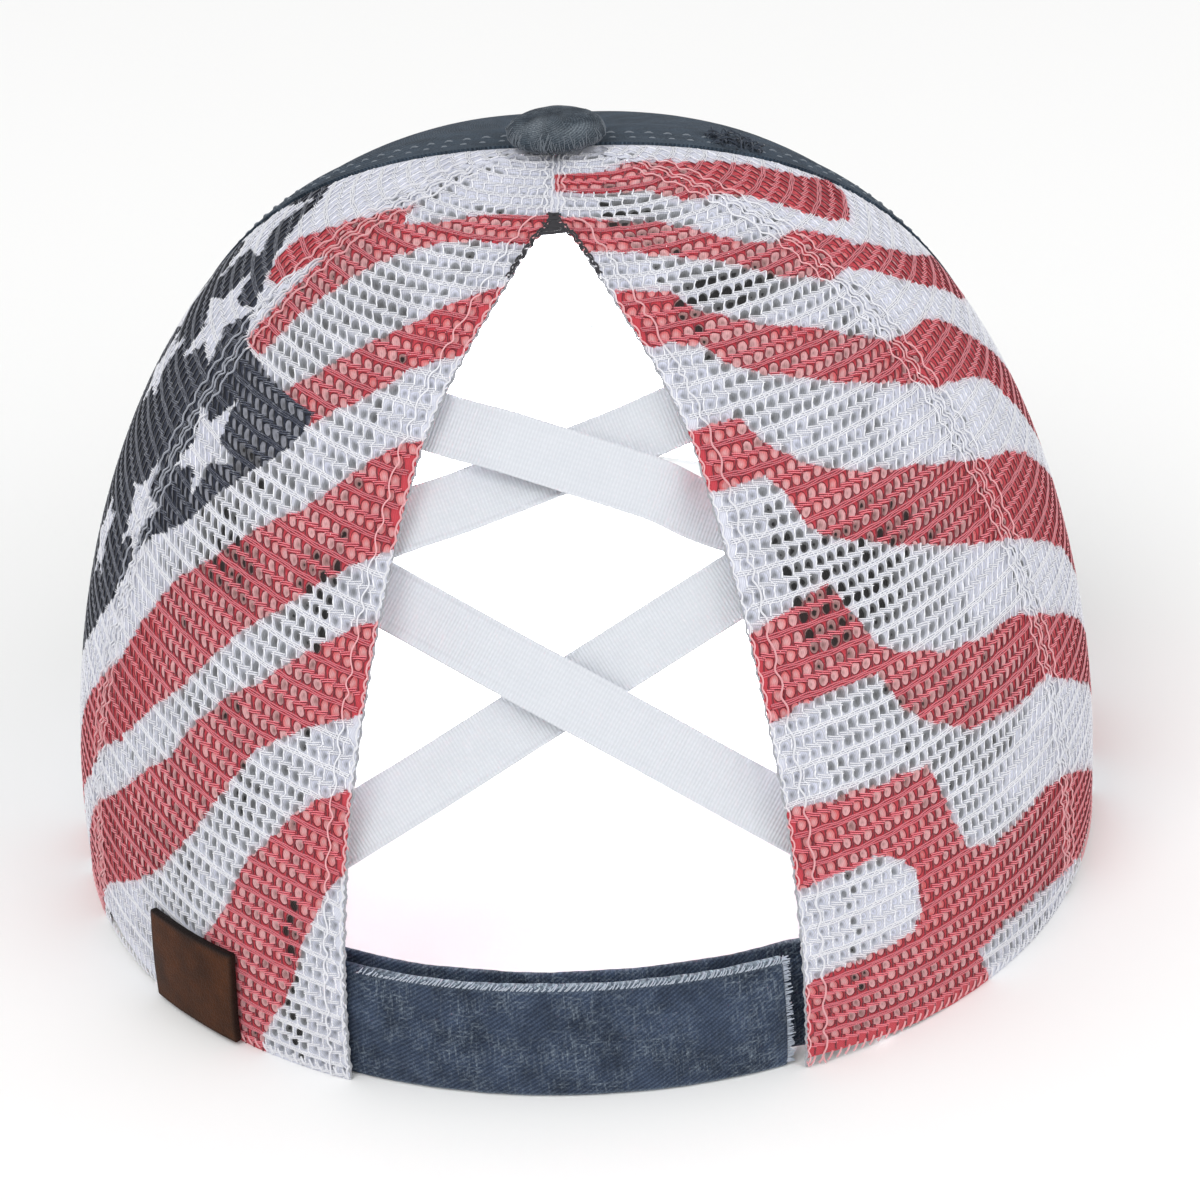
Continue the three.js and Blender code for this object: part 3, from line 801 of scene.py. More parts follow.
def near_any(angle, climb, places):
    """1 in the middle of the nearest of some places, falling to 0 at its reach."""
    best = np.zeros(len(angle))
    for at_angle, at_climb, wide, tall in places:
        away = np.hypot((angle - at_angle) / wide, (climb - at_climb) / tall)
        best = np.maximum(best, np.clip(1.35 - away, 0, 1))
    return best


def hole_loop(upward):
    """The loop of a hole on its square: flat at the bars, and rounded and narrower at the band."""
    u, v = CELL[:, 0], CELL[:, 1] * upward
    roundness = np.where(v > 0, 0.95, 0.5)
    x = u * np.sqrt(1 - roundness * v**2 / 2) * (1 - 0.16 * np.clip(v, 0, 1))
    y = v * np.sqrt(1 - roundness * u**2 / 2)
    return np.stack([x * HOLE_HALF_WIDTH, y * upward * HOLE_HALF_HEIGHT], -1)


class Gore:
    """One gore of netting between two seams, worked out on the left. side is -1 to mirror it to the right.

    larger and smaller give the seams' angles at a climb.
    Flat places are millimetres across from the gore's middle and up from the rim.
    """

    def __init__(self, side, larger, smaller, middle_angle, seed):
        self.side, self.larger, self.smaller = side, larger, smaller
        self.middle_angle, self.seed = middle_angle, seed
        self.dice = np.random.default_rng(seed)
        self.at_opening = middle_angle < SIDE_SEAM
        self.tilt = 0.06 if side > 0 else -0.08
        self.climbs = np.linspace(0, TOP_CLIMB, 240)
        self.arc = length_along(crown_face(np.full(240, float(middle_angle)), self.climbs))
        self.height = self.arc[-1]
        self.radii = radius_at(middle_angle, self.climbs)
        self.narrowing = -np.gradient(self.radii, self.arc)
        rows = np.arange(-2, int(2 * self.height / NET_PERIOD) + 3)
        self.upper = rows % 2 == 1
        self.row_low = NET_PERIOD * (rows // 2) + np.where(self.upper, 0.5, 0.0) * NET_PERIOD
        self.row_middle = self.row_low + NET_PERIOD / 4 + np.where(self.upper, -0.06, 0.06)
        leaning = self.lean_at(0 * self.arc, self.arc)
        drift = np.concatenate([[0], np.cumsum((leaning[1:] + leaning[:-1]) / 2 * np.diff(self.arc))])
        row_drift = np.interp(self.row_middle, self.arc, drift)
        self.row_offset = np.mod(row_drift + np.where(self.upper, 0.5 * NET_PITCH, 0), NET_PITCH)

    def lean_at(self, across, up):
        """How far the columns lean away from the opening for each millimetre up.

        By the opening they look upright from behind.
        """
        turned = across / np.interp(up, self.arc, self.radii)
        seen = np.clip(math.radians(self.middle_angle) + turned, 0, 1.1)
        upright = np.tan(seen) - turned if self.at_opening else 0.65
        return np.clip(np.interp(up, self.arc, self.narrowing) * upright, 0, 0.75)

    def placed(self, flat):
        """Angle and climb of flat places, before they are held inside the gore."""
        climb = np.interp(flat[..., 1], self.arc, self.climbs)
        return self.middle_angle + flat[..., 0] * np.degrees(1 / radius_at(self.middle_angle, climb)), climb

    def bent(self, flat):
        """The flat places a little out of line, as in real cloth."""
        across, up = flat[..., 0], flat[..., 1]
        slow_across = 0.16 * np.sin(up * 0.31 + 1.3 * np.sin(across * 0.11 + self.seed))
        slow_up = 0.2 * np.sin(across * 0.17 + 1.7 * np.sin(up * 0.07 + self.seed))
        wave_across = slow_across + 0.1 * np.sin(across * 0.9 + up * 0.53)
        wave_up = slow_up + 0.07 * np.sin(across * 1.1 - up * 0.8)
        return np.stack([across + wave_across, up + wave_up + self.tilt * across], -1)

    def to_seams(self, angle, climb):
        """How far places are from the larger and from the smaller seam."""
        turn = radius_at(self.middle_angle, climb)
        return np.radians(self.larger(climb) - angle) * turn, np.radians(angle - self.smaller(climb)) * turn

    def margin(self, flat):
        """How far inside the gore's nearest edge flat places are."""
        to_larger, to_smaller = self.to_seams(*self.placed(self.bent(flat)))
        return np.minimum.reduce([to_larger, to_smaller, flat[..., 1], self.height - flat[..., 1]])

    def onto_crown(self, flat, depths):
        """Angle, climb and point of flat places that lie at depths below the crown's face."""
        angle, climb = self.placed(self.bent(flat))
        smaller = self.smaller(climb)
        angle = np.clip(angle, smaller, np.maximum(smaller, self.larger(climb)))
        points = crown_point(angle, climb, depths)
        points[..., 0] *= self.side
        return angle * self.side, climb, points

    def cells(self):
        """The middle, the border and the row of each hole's cell that reaches into the gore."""
        columns = np.arange(-COLUMNS_EACH_WAY, COLUMNS_EACH_WAY + 1)
        grids = np.meshgrid(np.arange(len(self.upper)), columns, indexing="ij")
        row, column = (grid.ravel() for grid in grids)
        centre = np.stack([NET_PITCH * column + self.row_offset[row], self.row_middle[row]], -1)
        half = NET_PERIOD / 4
        border_up = (self.row_low[row] + half)[:, None] + CELL[None, :, 1] * half
        foot = centre[:, 0:1] + CELL[None, :, 0] * NET_PITCH / 2
        lean = self.lean_at(foot, centre[:, 1:2])
        border = np.stack([foot + lean * (border_up - centre[:, 1:2]), border_up], -1)
        kept = (self.margin(border) > 0.05).any(1)
        return centre[kept], border[kept], row[kept]


def holes_of(gore, centre):
    """The size of each cell's hole, how its floor is painted, and whether the cell is solid yarn instead.

    The floor is -1 for more yarn, 0 for a painted pale lit inside of the cap and 1 for painted shade, black.
    """
    count = len(centre)
    angle, climb = gore.placed(gore.bent(centre))
    to_larger, to_smaller = gore.to_seams(angle, climb)
    far_off = np.full(count, float(NOWHERE_NEAR))
    from_opening = to_smaller if gore.at_opening else far_off
    from_seam = to_larger if gore.at_opening else to_smaller
    from_front = far_off if gore.at_opening else to_larger
    shut = near_any(angle * gore.side, climb, STRETCHED_SHUT)
    shut = np.maximum(shut, np.clip((angle - DRAWN_SHUT_FROM[gore.side]) / 7, 0, 1))
    seen_through_shade = near_any(angle * gore.side, climb, SEE_THROUGH_SHADE)
    gauze = ripple(centre[:, 0] * 0.12, centre[:, 1] * 0.12, gore.seed)
    size = np.clip(1 + 0.05 * gauze + gore.dice.normal(0, 0.045, count), 0.82, 1.1) * (1 - 0.3 * shut)
    size = size * np.clip((from_front - 0.8) / 2, 0.45, 1) * np.clip((from_seam - 0.3) / 1.2, 0.55, 1)
    at_rim, at_top = centre[:, 1] < 1.9, gore.height - centre[:, 1] < 3
    solid = at_rim | at_top | (from_opening < 1.0) | (from_front < 0.8)
    # behind sets how each hole's floor is painted: it rises toward painted shade where one would see through
    # and with the gauze's waves, and falls toward more yarn where the netting is shut.
    behind = 0.04 + 0.26 * gauze + gore.dice.normal(0, 0.18, count) + 0.85 * seen_through_shade - 0.8 * shut
    in_hem = np.clip((OPENING_HEM - from_opening) / 2.5, 0, 1)
    # A row of slits in the hem shows as holes painted dark with painted shade.
    open_slits = np.clip(gore.dice.random(count) * 1.6 - 0.35, 0, 1)
    slits = np.exp(-(((from_opening - HEM_SLITS_AT) / 1.1) ** 2)) * open_slits
    behind = behind * (1 - 0.8 * in_hem) - 0.42 * in_hem + slits
    crumpled = np.clip((CRUMPLED_BY_SEAM - from_seam) / 1.5, 0, 1)
    behind = behind * (1 - crumpled) + crumpled * gore.dice.uniform(-0.7, 0.75, count)
    return np.where(solid, 0.4, size), np.where(solid, -1.5, np.clip(behind, -0.75, 1.05)), solid


def netting_piece(gore, name, points, faces, kinds, flat, angle, climb, values, *materials):
    """A mesh of the points that faces use, with values and the print's reach at each of them."""
    used, numbers = np.unique(faces, return_inverse=True)
    faces = numbers.reshape(faces.shape)
    faces = faces[:, ::-1] if gore.side > 0 else faces
    listed = [list(dict.fromkeys(face)) for face in faces.tolist()]
    piece = mesh_piece(name, in_frame(points.reshape(-1, 3)[used]), listed, flat.reshape(-1, 2)[used])
    paint(piece, *materials)
    piece.data.polygons.foreach_set("material_index", kinds)
    piece.data.polygons.foreach_set("use_smooth", np.ones(len(kinds), bool))
    places = np.stack([angle.ravel()[used], climb.ravel()[used]], -1).round(4)
    spots, spot_numbers = np.unique(places, axis=0, return_inverse=True)
    for key, value in values.items():
        set_point_value(piece, key, value.ravel()[used])
    for key, reach in zip(("red_reach", "navy_reach"), print_reach(*spots.T)):
        set_point_value(piece, key, reach[spot_numbers.ravel()])
    return piece


def netting_sheet(gore, name, cad_node):
    """The cloth itself: round each cell a border, then a loop round its hole, and the hole's floor."""
    centre, border, row = gore.cells()
    size, behind, solid = holes_of(gore, centre)
    count = len(centre)
    loops = np.where(gore.upper[row][:, None, None], hole_loop(1), hole_loop(-1)) * size[:, None, None]
    loops = loops * (1 + gore.dice.normal(0, 0.035, loops.shape))
    nudge = gore.dice.normal(0, 0.035, (count, 1, 2))
    lean = gore.lean_at(*centre.T)[:, None]
    loops = np.stack([loops[..., 0] + lean * loops[..., 1], loops[..., 1] - BAR_FALL * loops[..., 0]], -1)
    loops = centre[:, None] + nudge + loops
    floors = centre[:, None] + nudge + gore.dice.normal(0, 0.09, (count, 1, 2))
    flat = np.concatenate([border, loops, floors], 1)
    depth = np.concatenate([
        SHEET_DEPTH + 0.05 * ripple(border[..., 0] * 0.8, border[..., 1] * 0.8, gore.seed + 1),
        np.repeat(np.where(solid, SHEET_DEPTH, HOLE_EDGE_DEPTH)[:, None], CORNERS, 1),
        np.where(solid, SHEET_DEPTH, FLOOR_DEPTH)[:, None],
    ], 1)
    from_hole = np.zeros((count, 2 * CORNERS + 1))
    from_hole[:, :CORNERS] = np.linalg.norm(border - loops, axis=-1)
    from_hole[solid] = 1
    # The painted shade in a hole deepens from its rim to the middle of its floor. It is deeper on one side at
    # random and toward the hole's lower edge.
    at_edge = np.repeat(behind[:, None], CORNERS, 1) - 0.3
    fill_and_shade = np.concatenate([np.zeros((count, CORNERS)), at_edge, behind[:, None] + 0.32], 1)
    one_side_shaded = 0.12 * CELL[None, :, 0] * gore.dice.normal(0, 1, (count, 1))
    fill_and_shade[:, CORNERS:-1] += one_side_shaded - 0.1 * CELL[None, :, 1]

    first = (2 * CORNERS + 1) * np.arange(count)[:, None]
    ring = first + np.arange(CORNERS)
    loop = ring + CORNERS
    middle = np.repeat(first + 2 * CORNERS, CORNERS, 1)
    after = np.roll(np.arange(CORNERS), -1)
    yarn = np.stack([ring, ring[:, after], loop[:, after], loop], -1).reshape(-1, 4)
    floor_faces = np.stack([loop, loop[:, after], middle, middle], -1).reshape(-1, 4)
    faces = np.concatenate([yarn, floor_faces])
    kinds = np.repeat([0, 1], [len(yarn), len(floor_faces)]).astype(np.int32)
    angle, climb, points = gore.onto_crown(flat, depth)
    sheet = netting_piece(gore, name, points, faces, kinds, flat, angle, climb,
                          {"from_hole": from_hole, "fill_and_shade": fill_and_shade}, netting_yarn, netting_hole_yarn_and_painted_inside)
    finish_piece(sheet, "printed_netting", cad_node)
    return centre, row


def yarn_tubes(gore, paths, depths, radius, tone, sides=3):
    """Tubes along flat paths, left out where they leave the gore.

    Gives their points, walls, flat places, angles, climbs and tones, which run from painted shade at 0 to
    painted highlight at 1.
    """
    angle, climb, middle = gore.onto_crown(paths, depths)
    kept = gore.margin(paths) > 0.35
    kept = kept[:, 1:] & kept[:, :-1]
    ways = unit(np.gradient(middle, axis=1))
    normals = crown_normal(angle * gore.side, climb)
    normals[..., 0] *= gore.side
    across = unit(np.cross(normals, ways)) * gore.side
    turns = (np.arange(sides) * 2 * math.pi / sides + math.pi / 4)[:, None]
    round_middle = np.cos(turns) * across[:, :, None] + np.sin(turns) * normals[:, :, None]
    rings = middle[:, :, None] + radius * round_middle
    shape = rings.shape[:3]
    numbers = np.arange(math.prod(shape)).reshape(shape)
    start, end = numbers[:, :-1][kept], numbers[:, 1:][kept]
    walls = np.stack([start, np.roll(start, -1, 1), np.roll(end, -1, 1), end], -1).reshape(-1, 4)
    flat = np.repeat(paths[:, :, None], sides, 2).reshape(-1, 2)
    angle, climb = (np.broadcast_to(value[:, :, None], shape).ravel() for value in (angle, climb))
    return rings.reshape(-1, 3), walls, flat, angle, climb, np.full(len(flat), float(tone))


def pillars(gore, foot, lean, upper):
    """A pillar beside each hole, bowed round it, painted dark with painted shade."""
    steps = np.linspace(-1, 1, 5)
    bow = np.where(steps**2 < 0.9, 0.06 * np.cos(steps * math.pi), -0.02)
    up = steps * HOLE_HALF_HEIGHT * 1.02
    sway = gore.dice.normal(0, 0.05, (len(foot), 1)) + bow * np.where(upper, 1, -1)[:, None]
    paths = np.stack([foot[:, 0:1] + lean[:, None] * up + sway, foot[:, 1:2] + up + 0 * sway], -1)
    return yarn_tubes(gore, paths, 0.1 + 0.02 * steps**2, 0.125, 0.0, 4)


def links_and_bars(gore, centre, row, foot, lean):
    """Links from each pillar's top to the next row, and the double bars inside a period."""
    tubes = []
    for index in range(len(gore.upper) - 1):
        here = row == index
        shift = lean[here] * HOLE_HALF_HEIGHT
        next_shift = gore.lean_at(foot[here, 0], gore.row_middle[index + 1]) * HOLE_HALF_HEIGHT
        start = foot[here] + np.stack([shift, np.full(len(shift), HOLE_HALF_HEIGHT)], -1)
        gap = gore.row_middle[index + 1] - gore.row_middle[index] - 2 * HOLE_HALF_HEIGHT
        aside = gore.row_offset[index + 1] - gore.row_offset[index] - shift - next_shift
        aside = np.mod(aside + NET_PITCH / 2, NET_PITCH) - NET_PITCH / 2
        for end in [aside, aside - NET_PITCH * np.sign(aside)] if gore.upper[index] else [aside]:
            rise = np.broadcast_to([0, gap / 2, gap], (len(end), 3))
            links = start[:, None] + np.stack([end[:, None] * [0, 0.5, 1], rise], -1)
            # The links are painted nearly as dark as the pillars' painted shade.
            tubes.append(yarn_tubes(gore, links, np.array([0.12, 0.1, 0.12]), 0.11, 0.15))
        if not gore.upper[index]:
            share = np.linspace(-0.64, 0.64, 3) * NET_PITCH
            for rise in (-0.17, 0.17):
                high = HOLE_HALF_HEIGHT + gap / 2 + rise - BAR_FALL * share
                bars = centre[here][:, None] + np.stack(np.broadcast_arrays(share + shift[:, None], high), -1)
                # The double bars are painted bright with painted highlights.
                tubes.append(yarn_tubes(gore, bars, np.array([0.14, 0.03, 0.1]), 0.1, 1.0))
    return tubes


def long_threads(gore):
    """The three threads side by side that part the periods, painted light with painted highlights."""
    low = NET_PERIOD * np.arange(0, int(gore.height / NET_PERIOD) + 2)[:, None]
    along = np.arange(-LONG_THREAD_REACH, LONG_THREAD_REACH + 0.1, 1.1)
    tubes = []
    for rise in (-0.3, 0.0, 0.3):
        heights = low + rise + 0.05 * np.sin(along * 1.6 + rise * 9 + low)
        band = np.stack([np.broadcast_to(along, heights.shape), heights], -1)
        tubes.append(yarn_tubes(gore, band, 0.06 + 0 * along, 0.105, 0.75))
    return tubes


def netting_yarns(gore, name, centre, row):
    """The yarns that stand out from the sheet."""
    foot = centre + [NET_PITCH / 2, 0]
    lean = gore.lean_at(*foot.T)
    tubes = [pillars(gore, foot, lean, gore.upper[row])]
    tubes += links_and_bars(gore, centre, row, foot, lean) + long_threads(gore)
    starts = np.cumsum([0] + [len(tube[0]) for tube in tubes])
    walls = np.concatenate([tube[1] + start for tube, start in zip(tubes, starts)])
    points, flat, angle, climb, tone = (np.concatenate([tube[k] for tube in tubes]) for k in (0, 2, 3, 4, 5))
    yarns = netting_piece(gore, name, points, walls, np.zeros(len(walls), np.int32), flat, angle, climb,
                          {"tone": tone}, netting_strand)
    finish_piece(yarns, "printed_netting")


for side, hand in ((1, "left"), (-1, "right")):
    gores = {
        "back": Gore(side, side_seam, opening_angle, 43, 20 + side),
        "side": Gore(side, front_seam, side_seam, 92, 30 + side),
    }
    for part, gore in gores.items():
        centre, row = netting_sheet(gore, f"{part}_netting_{hand}", f"{part}_panel_{hand}")
        netting_yarns(gore, f"{part}_netting_yarns_{hand}", centre, row)


# Rows of sewing on the crown.


def row_on_crown(angles, climbs, offset, step):
    """Evenly spaced places along a line on the crown, moved sideways by offset.

    Gives their points, ways across the line, normals and distances along it.
    """
    angles, climbs = np.asarray(angles, float), np.asarray(climbs, float)
    arc = length_along(crown_point(angles, climbs, 0))
    at = np.arange(0, arc[-1], step)
    angle, climb = np.interp(at, arc, angles), np.interp(at, arc, climbs)
    points = crown_point(angle, climb, 0)
    normals = crown_normal(angle, climb)
    ways = unit(np.gradient(points, axis=0))
    across = unit(np.cross(normals, ways))
    return points + across * offset, across, normals, at


def stitch_row(angles, climbs, offset, length, gap, lift=0.22):
    """Separate stitches along a line: each rises from the cloth and goes back into it."""
    points, across, normals, at = row_on_crown(angles, climbs, offset, 0.2)
    paths = []
    start = 0.0
    while start + length < at[-1]:
        span = np.linspace(start, start + length * dice.uniform(0.9, 1.05), 6)
        rise = np.sin(np.linspace(0, math.pi, 6)) * (lift + 0.25) - 0.25
        middle = np.stack([np.interp(span, at, points[:, k]) for k in range(3)], -1)
        out = np.stack([np.interp(span, at, normals[:, k]) for k in range(3)], -1)
        sway = np.stack([np.interp(span, at, across[:, k]) for k in range(3)], -1)
        paths.append(middle + out * rise[:, None] + sway * dice.uniform(-0.08, 0.08))
        start += length + gap
    return paths


def wavy_thread(angles, climbs, offset, sway, period, lift, seed):
    """One long thread that winds from side to side along a line."""
    points, across, normals, at = row_on_crown(angles, climbs, offset, 0.3)
    made = np.random.default_rng(seed)
    knots = np.arange(0, at[-1] + 8, 4)
    phase = 2 * math.pi * at / period + 0.9 * np.interp(at, knots, made.normal(0, 1, len(knots)))
    side_way = np.sin(phase) * sway
    height = lift + 0.12 * np.cos(phase * 2)
    return points + across * side_way[:, None] + normals * height[:, None]


def place_on_crown(points):
    """Angle and climb of points near the crown's face."""
    x, y, z = points.T
    angle = np.degrees(np.arctan2(x, y - BUTTON_BEHIND_MIDDLE))
    for _ in range(5):
        rim, fullness = rim_height(angle), upright_fullness(angle)
        share = np.clip((z - rim) / (CROWN_HEIGHT - rim), 0, 1)
        climb = np.degrees(np.arcsin(share ** (fullness / 2)))
        behind = y - BUTTON_BEHIND_MIDDLE * (1 - np.cos(np.radians(climb)) ** (2 / fullness))
        length = np.where(behind > 0, CROWN_LENGTH_BACK, CROWN_LENGTH_FRONT)
        angle = np.degrees(np.arctan2(x / CROWN_HALF_WIDTH, behind / length))
    return angle, climb


def sew(name, paths, radius, slot, material, roundness=0):
    """Threads as a finished piece. Those that sew the netting take the print's colours."""
    piece = threads(name, paths, radius, roundness)
    if material == netting_sewing:
        reaches = print_reach(*place_on_crown(points_of(piece)))
        for key, reach in zip(("red_reach", "navy_reach"), reaches):
            set_point_value(piece, key, reach)
    paint(piece, material)
    return finish_piece(piece, slot)


def seam_line(angle_at, side, low=0.3, high=TOP_CLIMB - 1, count=120):
    climbs = np.linspace(low, high, count)
    return side * angle_at(climbs), climbs


def netting_edge_threads():
    """Loose threads that wind along the side seams and the hems of the opening."""
    paths = []
    for side in (1, -1):
        seam = seam_line(side_seam, side, high=82)
        for offset in (-2.6, 2.6):
            paths.append(wavy_thread(*seam, offset, 0.45, 4.2, 0.1, 40 + side))
        for offset in (-0.5, 0.45):
            paths.append(wavy_thread(*seam, offset, 0.5, 3.4, 0.0, 43 + side))
        hem = seam_line(opening_angle, side, high=OPENING_TOP_CLIMB - 0.4)
        paths.append(wavy_thread(*hem, 0.3 * side, 0.2, 2.6, 0.0, 50 + side))
        paths.append(wavy_thread(*hem, 0.2 * side, 0.28, 3.2, -0.35, 52 + side))
        paths.append(wavy_thread(*hem, 3.0 * side, 0.34, 4.4, 0.1, 54 + side))
    sew("netting_edge_threads", paths, 0.15, "printed_netting", netting_sewing)


netting_edge_threads()


def opening_edging():
    """Grey threads along the cut edges of the opening."""
    paths = []
    for side in (1, -1):
        edge = seam_line(opening_angle, side, high=OPENING_TOP_CLIMB - 5)
        paths.append(wavy_thread(*edge, -0.05 * side, 0.12, 3.1, -0.35, 56 + side))
        paths.append(wavy_thread(*edge, 0.3 * side, 0.12, 2.7, -0.85, 58 + side))
    sew("opening_edging", paths, 0.22, "printed_netting", grey_edging)


opening_edging()


def apex_tacking():
    """Dark threads along the edges at the opening's top, and stitches that draw them together."""
    paths = []
    for side in (1, -1):
        edge = seam_line(opening_angle, side, OPENING_TOP_CLIMB - 7, OPENING_TOP_CLIMB - 0.2, 60)
        for offset, lift in ((0.1, 0.05), (0.45, 0.12), (0.2, -0.5)):
            paths.append(wavy_thread(*edge, offset * side, 0.16, 1.9, lift, 62 + side))
    arch = np.sin(np.linspace(0, math.pi, 7))
    for climb in np.linspace(OPENING_TOP_CLIMB - 1.5, OPENING_TOP_CLIMB + 0.9, 24):
        half = float(opening_angle(climb)) + float(angle_of(dice.uniform(0.5, 1.4), 0.0, climb))
        angles = np.linspace(-half, half, 7)
        sag = -0.12 * (1 - (angles / half) ** 2) + np.linspace(0, dice.uniform(-0.5, 0.5), 7)
        paths.append(crown_point(angles, climb + sag, 0.1 - 0.25 * dice.random() * arch))
    sew("apex_tacking", paths, 0.2, "printed_netting", dark_tack)


apex_tacking()


def back_seam_threads():
    """Threads along the seam from the opening's top to the button."""
    climbs = np.linspace(OPENING_TOP_CLIMB + 1, TOP_CLIMB - 1, 40)
    rows = ((-0.5, 0.12), (0.4, 0.12), (-1.3, 0.3), (1.4, 0.3))
    paths = [wavy_thread(0 * climbs, climbs, offset, sway, 3.1, 0.06, 66) for offset, sway in rows]
    sew("back_seam_threads", paths, 0.16, "printed_netting", netting_sewing)


back_seam_threads()

HEM_STITCH_LOW = 0.35
HEM_STITCH_HIGH = 1.75
HEM_STITCH_LEAN = 0.55


def rim_hem_stitches():
    """Short slanted stitches over the netting's hem at the rim, one to a degree."""
    heights = np.array([HEM_STITCH_LOW, (HEM_STITCH_LOW + HEM_STITCH_HIGH) / 2, HEM_STITCH_HIGH])
    slant = HEM_STITCH_LEAN * np.array([-0.5, 0, 0.5])
    paths = []
    for side in (1, -1):
        for angle in np.arange(float(opening_angle(0.0)) + 0.6, FRONT_SEAM_AT_RIM - 1, 1.0):
            turns = side * (angle + slant + dice.uniform(-0.06, 0.06))
            paths.append(crown_point(turns, climb_at_height(angle, heights), np.array([0.12, -0.04, 0.12])))
    sew("rim_hem_stitches", paths, 0.17, "printed_netting", netting_sewing)


rim_hem_stitches()


# Front panels of washed cotton, lined in white.


FRONT_PANEL_WIDTH = 95


def front_panel(side, hand):
    """Cotton with a raised band along the netting and a dip along the centre seam."""
    def place(u, v):
        climb = TOP_CLIMB * v
        inner_gap = angle_of(GAP / 2, 180.0, climb)
        from_angle = front_centre(climb) - inner_gap
        to_angle = front_seam(climb) - 0.2
        share = u if side > 0 else 1 - u
        angle = from_angle + (to_angle - from_angle) * share
        width = FRONT_PANEL_WIDTH * np.cos(np.radians(climb))
        from_centre, from_seam = share * width, (1 - share) * width
        dip = 0.5 * np.exp(-from_centre / 1.2) - 0.45 / (1 + np.exp((from_seam - 6.2) / 0.35))
        away = np.clip(from_centre / 10, 0, 1) * np.clip(from_seam / 10, 0, 1)
        folds = 0.06 * ripple(share * 5, v * 6, 61 + side) * away
        points = crown_point(angle, climb, 0.14 + dip + folds)
        points[:, 0] *= side
        return points

    piece = bent_grid(f"front_cotton_{hand}", 96, 72, place, (80, 150), navy_cotton, white_lining, 1.5)
    where = points_of(piece)
    height = where[:, 2] / CROWN_HEIGHT
    near_centre = np.exp(-np.abs(where[:, 0]) / 1.2)
    at_rim = np.clip(1 - where[:, 2] / 3, 0, 1)
    set_wear_and_highlight(piece, 0.75 * near_centre + 0.5 * at_rim + 0.35 * np.clip(height - 0.93, 0, 1) * 8)
    return finish_piece(piece, "washed_cotton", f"front_panel_{hand}")


front_panel(1, "left")
front_panel(-1, "right")

def front_panel_stitches():
    """Two rows of stitches along each front seam, and one on each side of the centre seam."""
    paths = []
    for side in (1, -1):
        seam = seam_line(front_seam, side, high=TOP_CLIMB - 2)
        for offset in (2.2, 4.6):
            paths += stitch_row(*seam, side * offset, 2.3, 1.0, 0.3)
        paths += stitch_row(*seam_line(front_centre, side, high=TOP_CLIMB - 2), side * 2.4, 2.3, 1.0)
    sew("front_panel_stitches", paths, 0.17, "washed_cotton", dull_thread, 1)


front_panel_stitches()

TAPE_WIDTH = 9
TAPE_DEPTH = 2.2
TAPE_ABOVE_RIM = 29.5


def centre_tape():
    """The tape that covers the two front panels' seam inside."""
    start = float(climb_at_height(180.0, TAPE_ABOVE_RIM * CROWN_HEIGHT / (CROWN_HEIGHT - FRONT_RISE)))

    def place(u, v):
        climb = start + (TOP_CLIMB - 3 - start) * v
        return crown_point(180 + angle_of(TAPE_WIDTH / 2, 180.0, climb) * (1 - 2 * u), climb, TAPE_DEPTH)

    piece = bent_grid("centre_seam_tape", 10, 60, place, (TAPE_WIDTH, 110), navy_cotton, white_lining, 0.3)
    return finish_piece(piece, "washed_cotton")


centre_tape()

TUFT_ANGLE = -105
TUFT_CLIMB = 73


def frayed_tuft():
    """Loose dark ends of the seam allowance that stand up from the right front panel."""
    paths = []
    for _ in range(90):
        angle = TUFT_ANGLE - dice.uniform(-5, 5)
        climb = TUFT_CLIMB + dice.uniform(-2.6, 2.6)
        turns = np.linspace(0, math.pi * dice.uniform(1.0, 1.6), 7)
        size = dice.uniform(0.5, 1.6)
        angles = angle + np.degrees(size * np.sin(turns) * dice.uniform(-1, 1) / 30)
        climbs = climb + np.degrees(size * np.cos(turns) * dice.uniform(-1, 1) / 80)
        paths.append(crown_point(angles, climbs, 0.2 - size * 1.1 * np.sin(np.linspace(0, math.pi, 7))))
    sew("front_frayed_tuft", paths, 0.13, "washed_cotton", dark_fray)


frayed_tuft()


# Button, covered in the same cotton, gathered below.

BUTTON_RADIUS = 8


def button_point(turn, up, out=0.0):
    """A place on the button's cover, and how tightly the cloth is gathered there."""
    around = np.sqrt(np.clip(1 - up**2, 0, 1)) ** 0.82
    pleat = ripple(np.cos(turn) * 9, np.sin(turn) * 9, 71)
    gathered = np.clip(around - 0.55, 0, 1) * np.clip(0.75 - up, 0, 1.4) * (1 + pleat)
    tucked = np.where(up < 0, 1 - 0.06 * up**2, 1)
    radius = BUTTON_RADIUS * around * (0.985 - 0.035 * gathered) * tucked + out
    rise = 1.9 + np.where(up > 0, 3.2 * np.abs(up) ** 0.9, 1.9 * up) + out * up
    rise = rise + 0.12 * ripple(around * np.cos(turn) * 3, around * np.sin(turn) * 3, 72) * (up > 0)
    x, y = radius * np.cos(turn), BUTTON_BEHIND_MIDDLE + radius * np.sin(turn)
    return np.stack([x, y, CROWN_HEIGHT + GAP + rise], -1), gathered


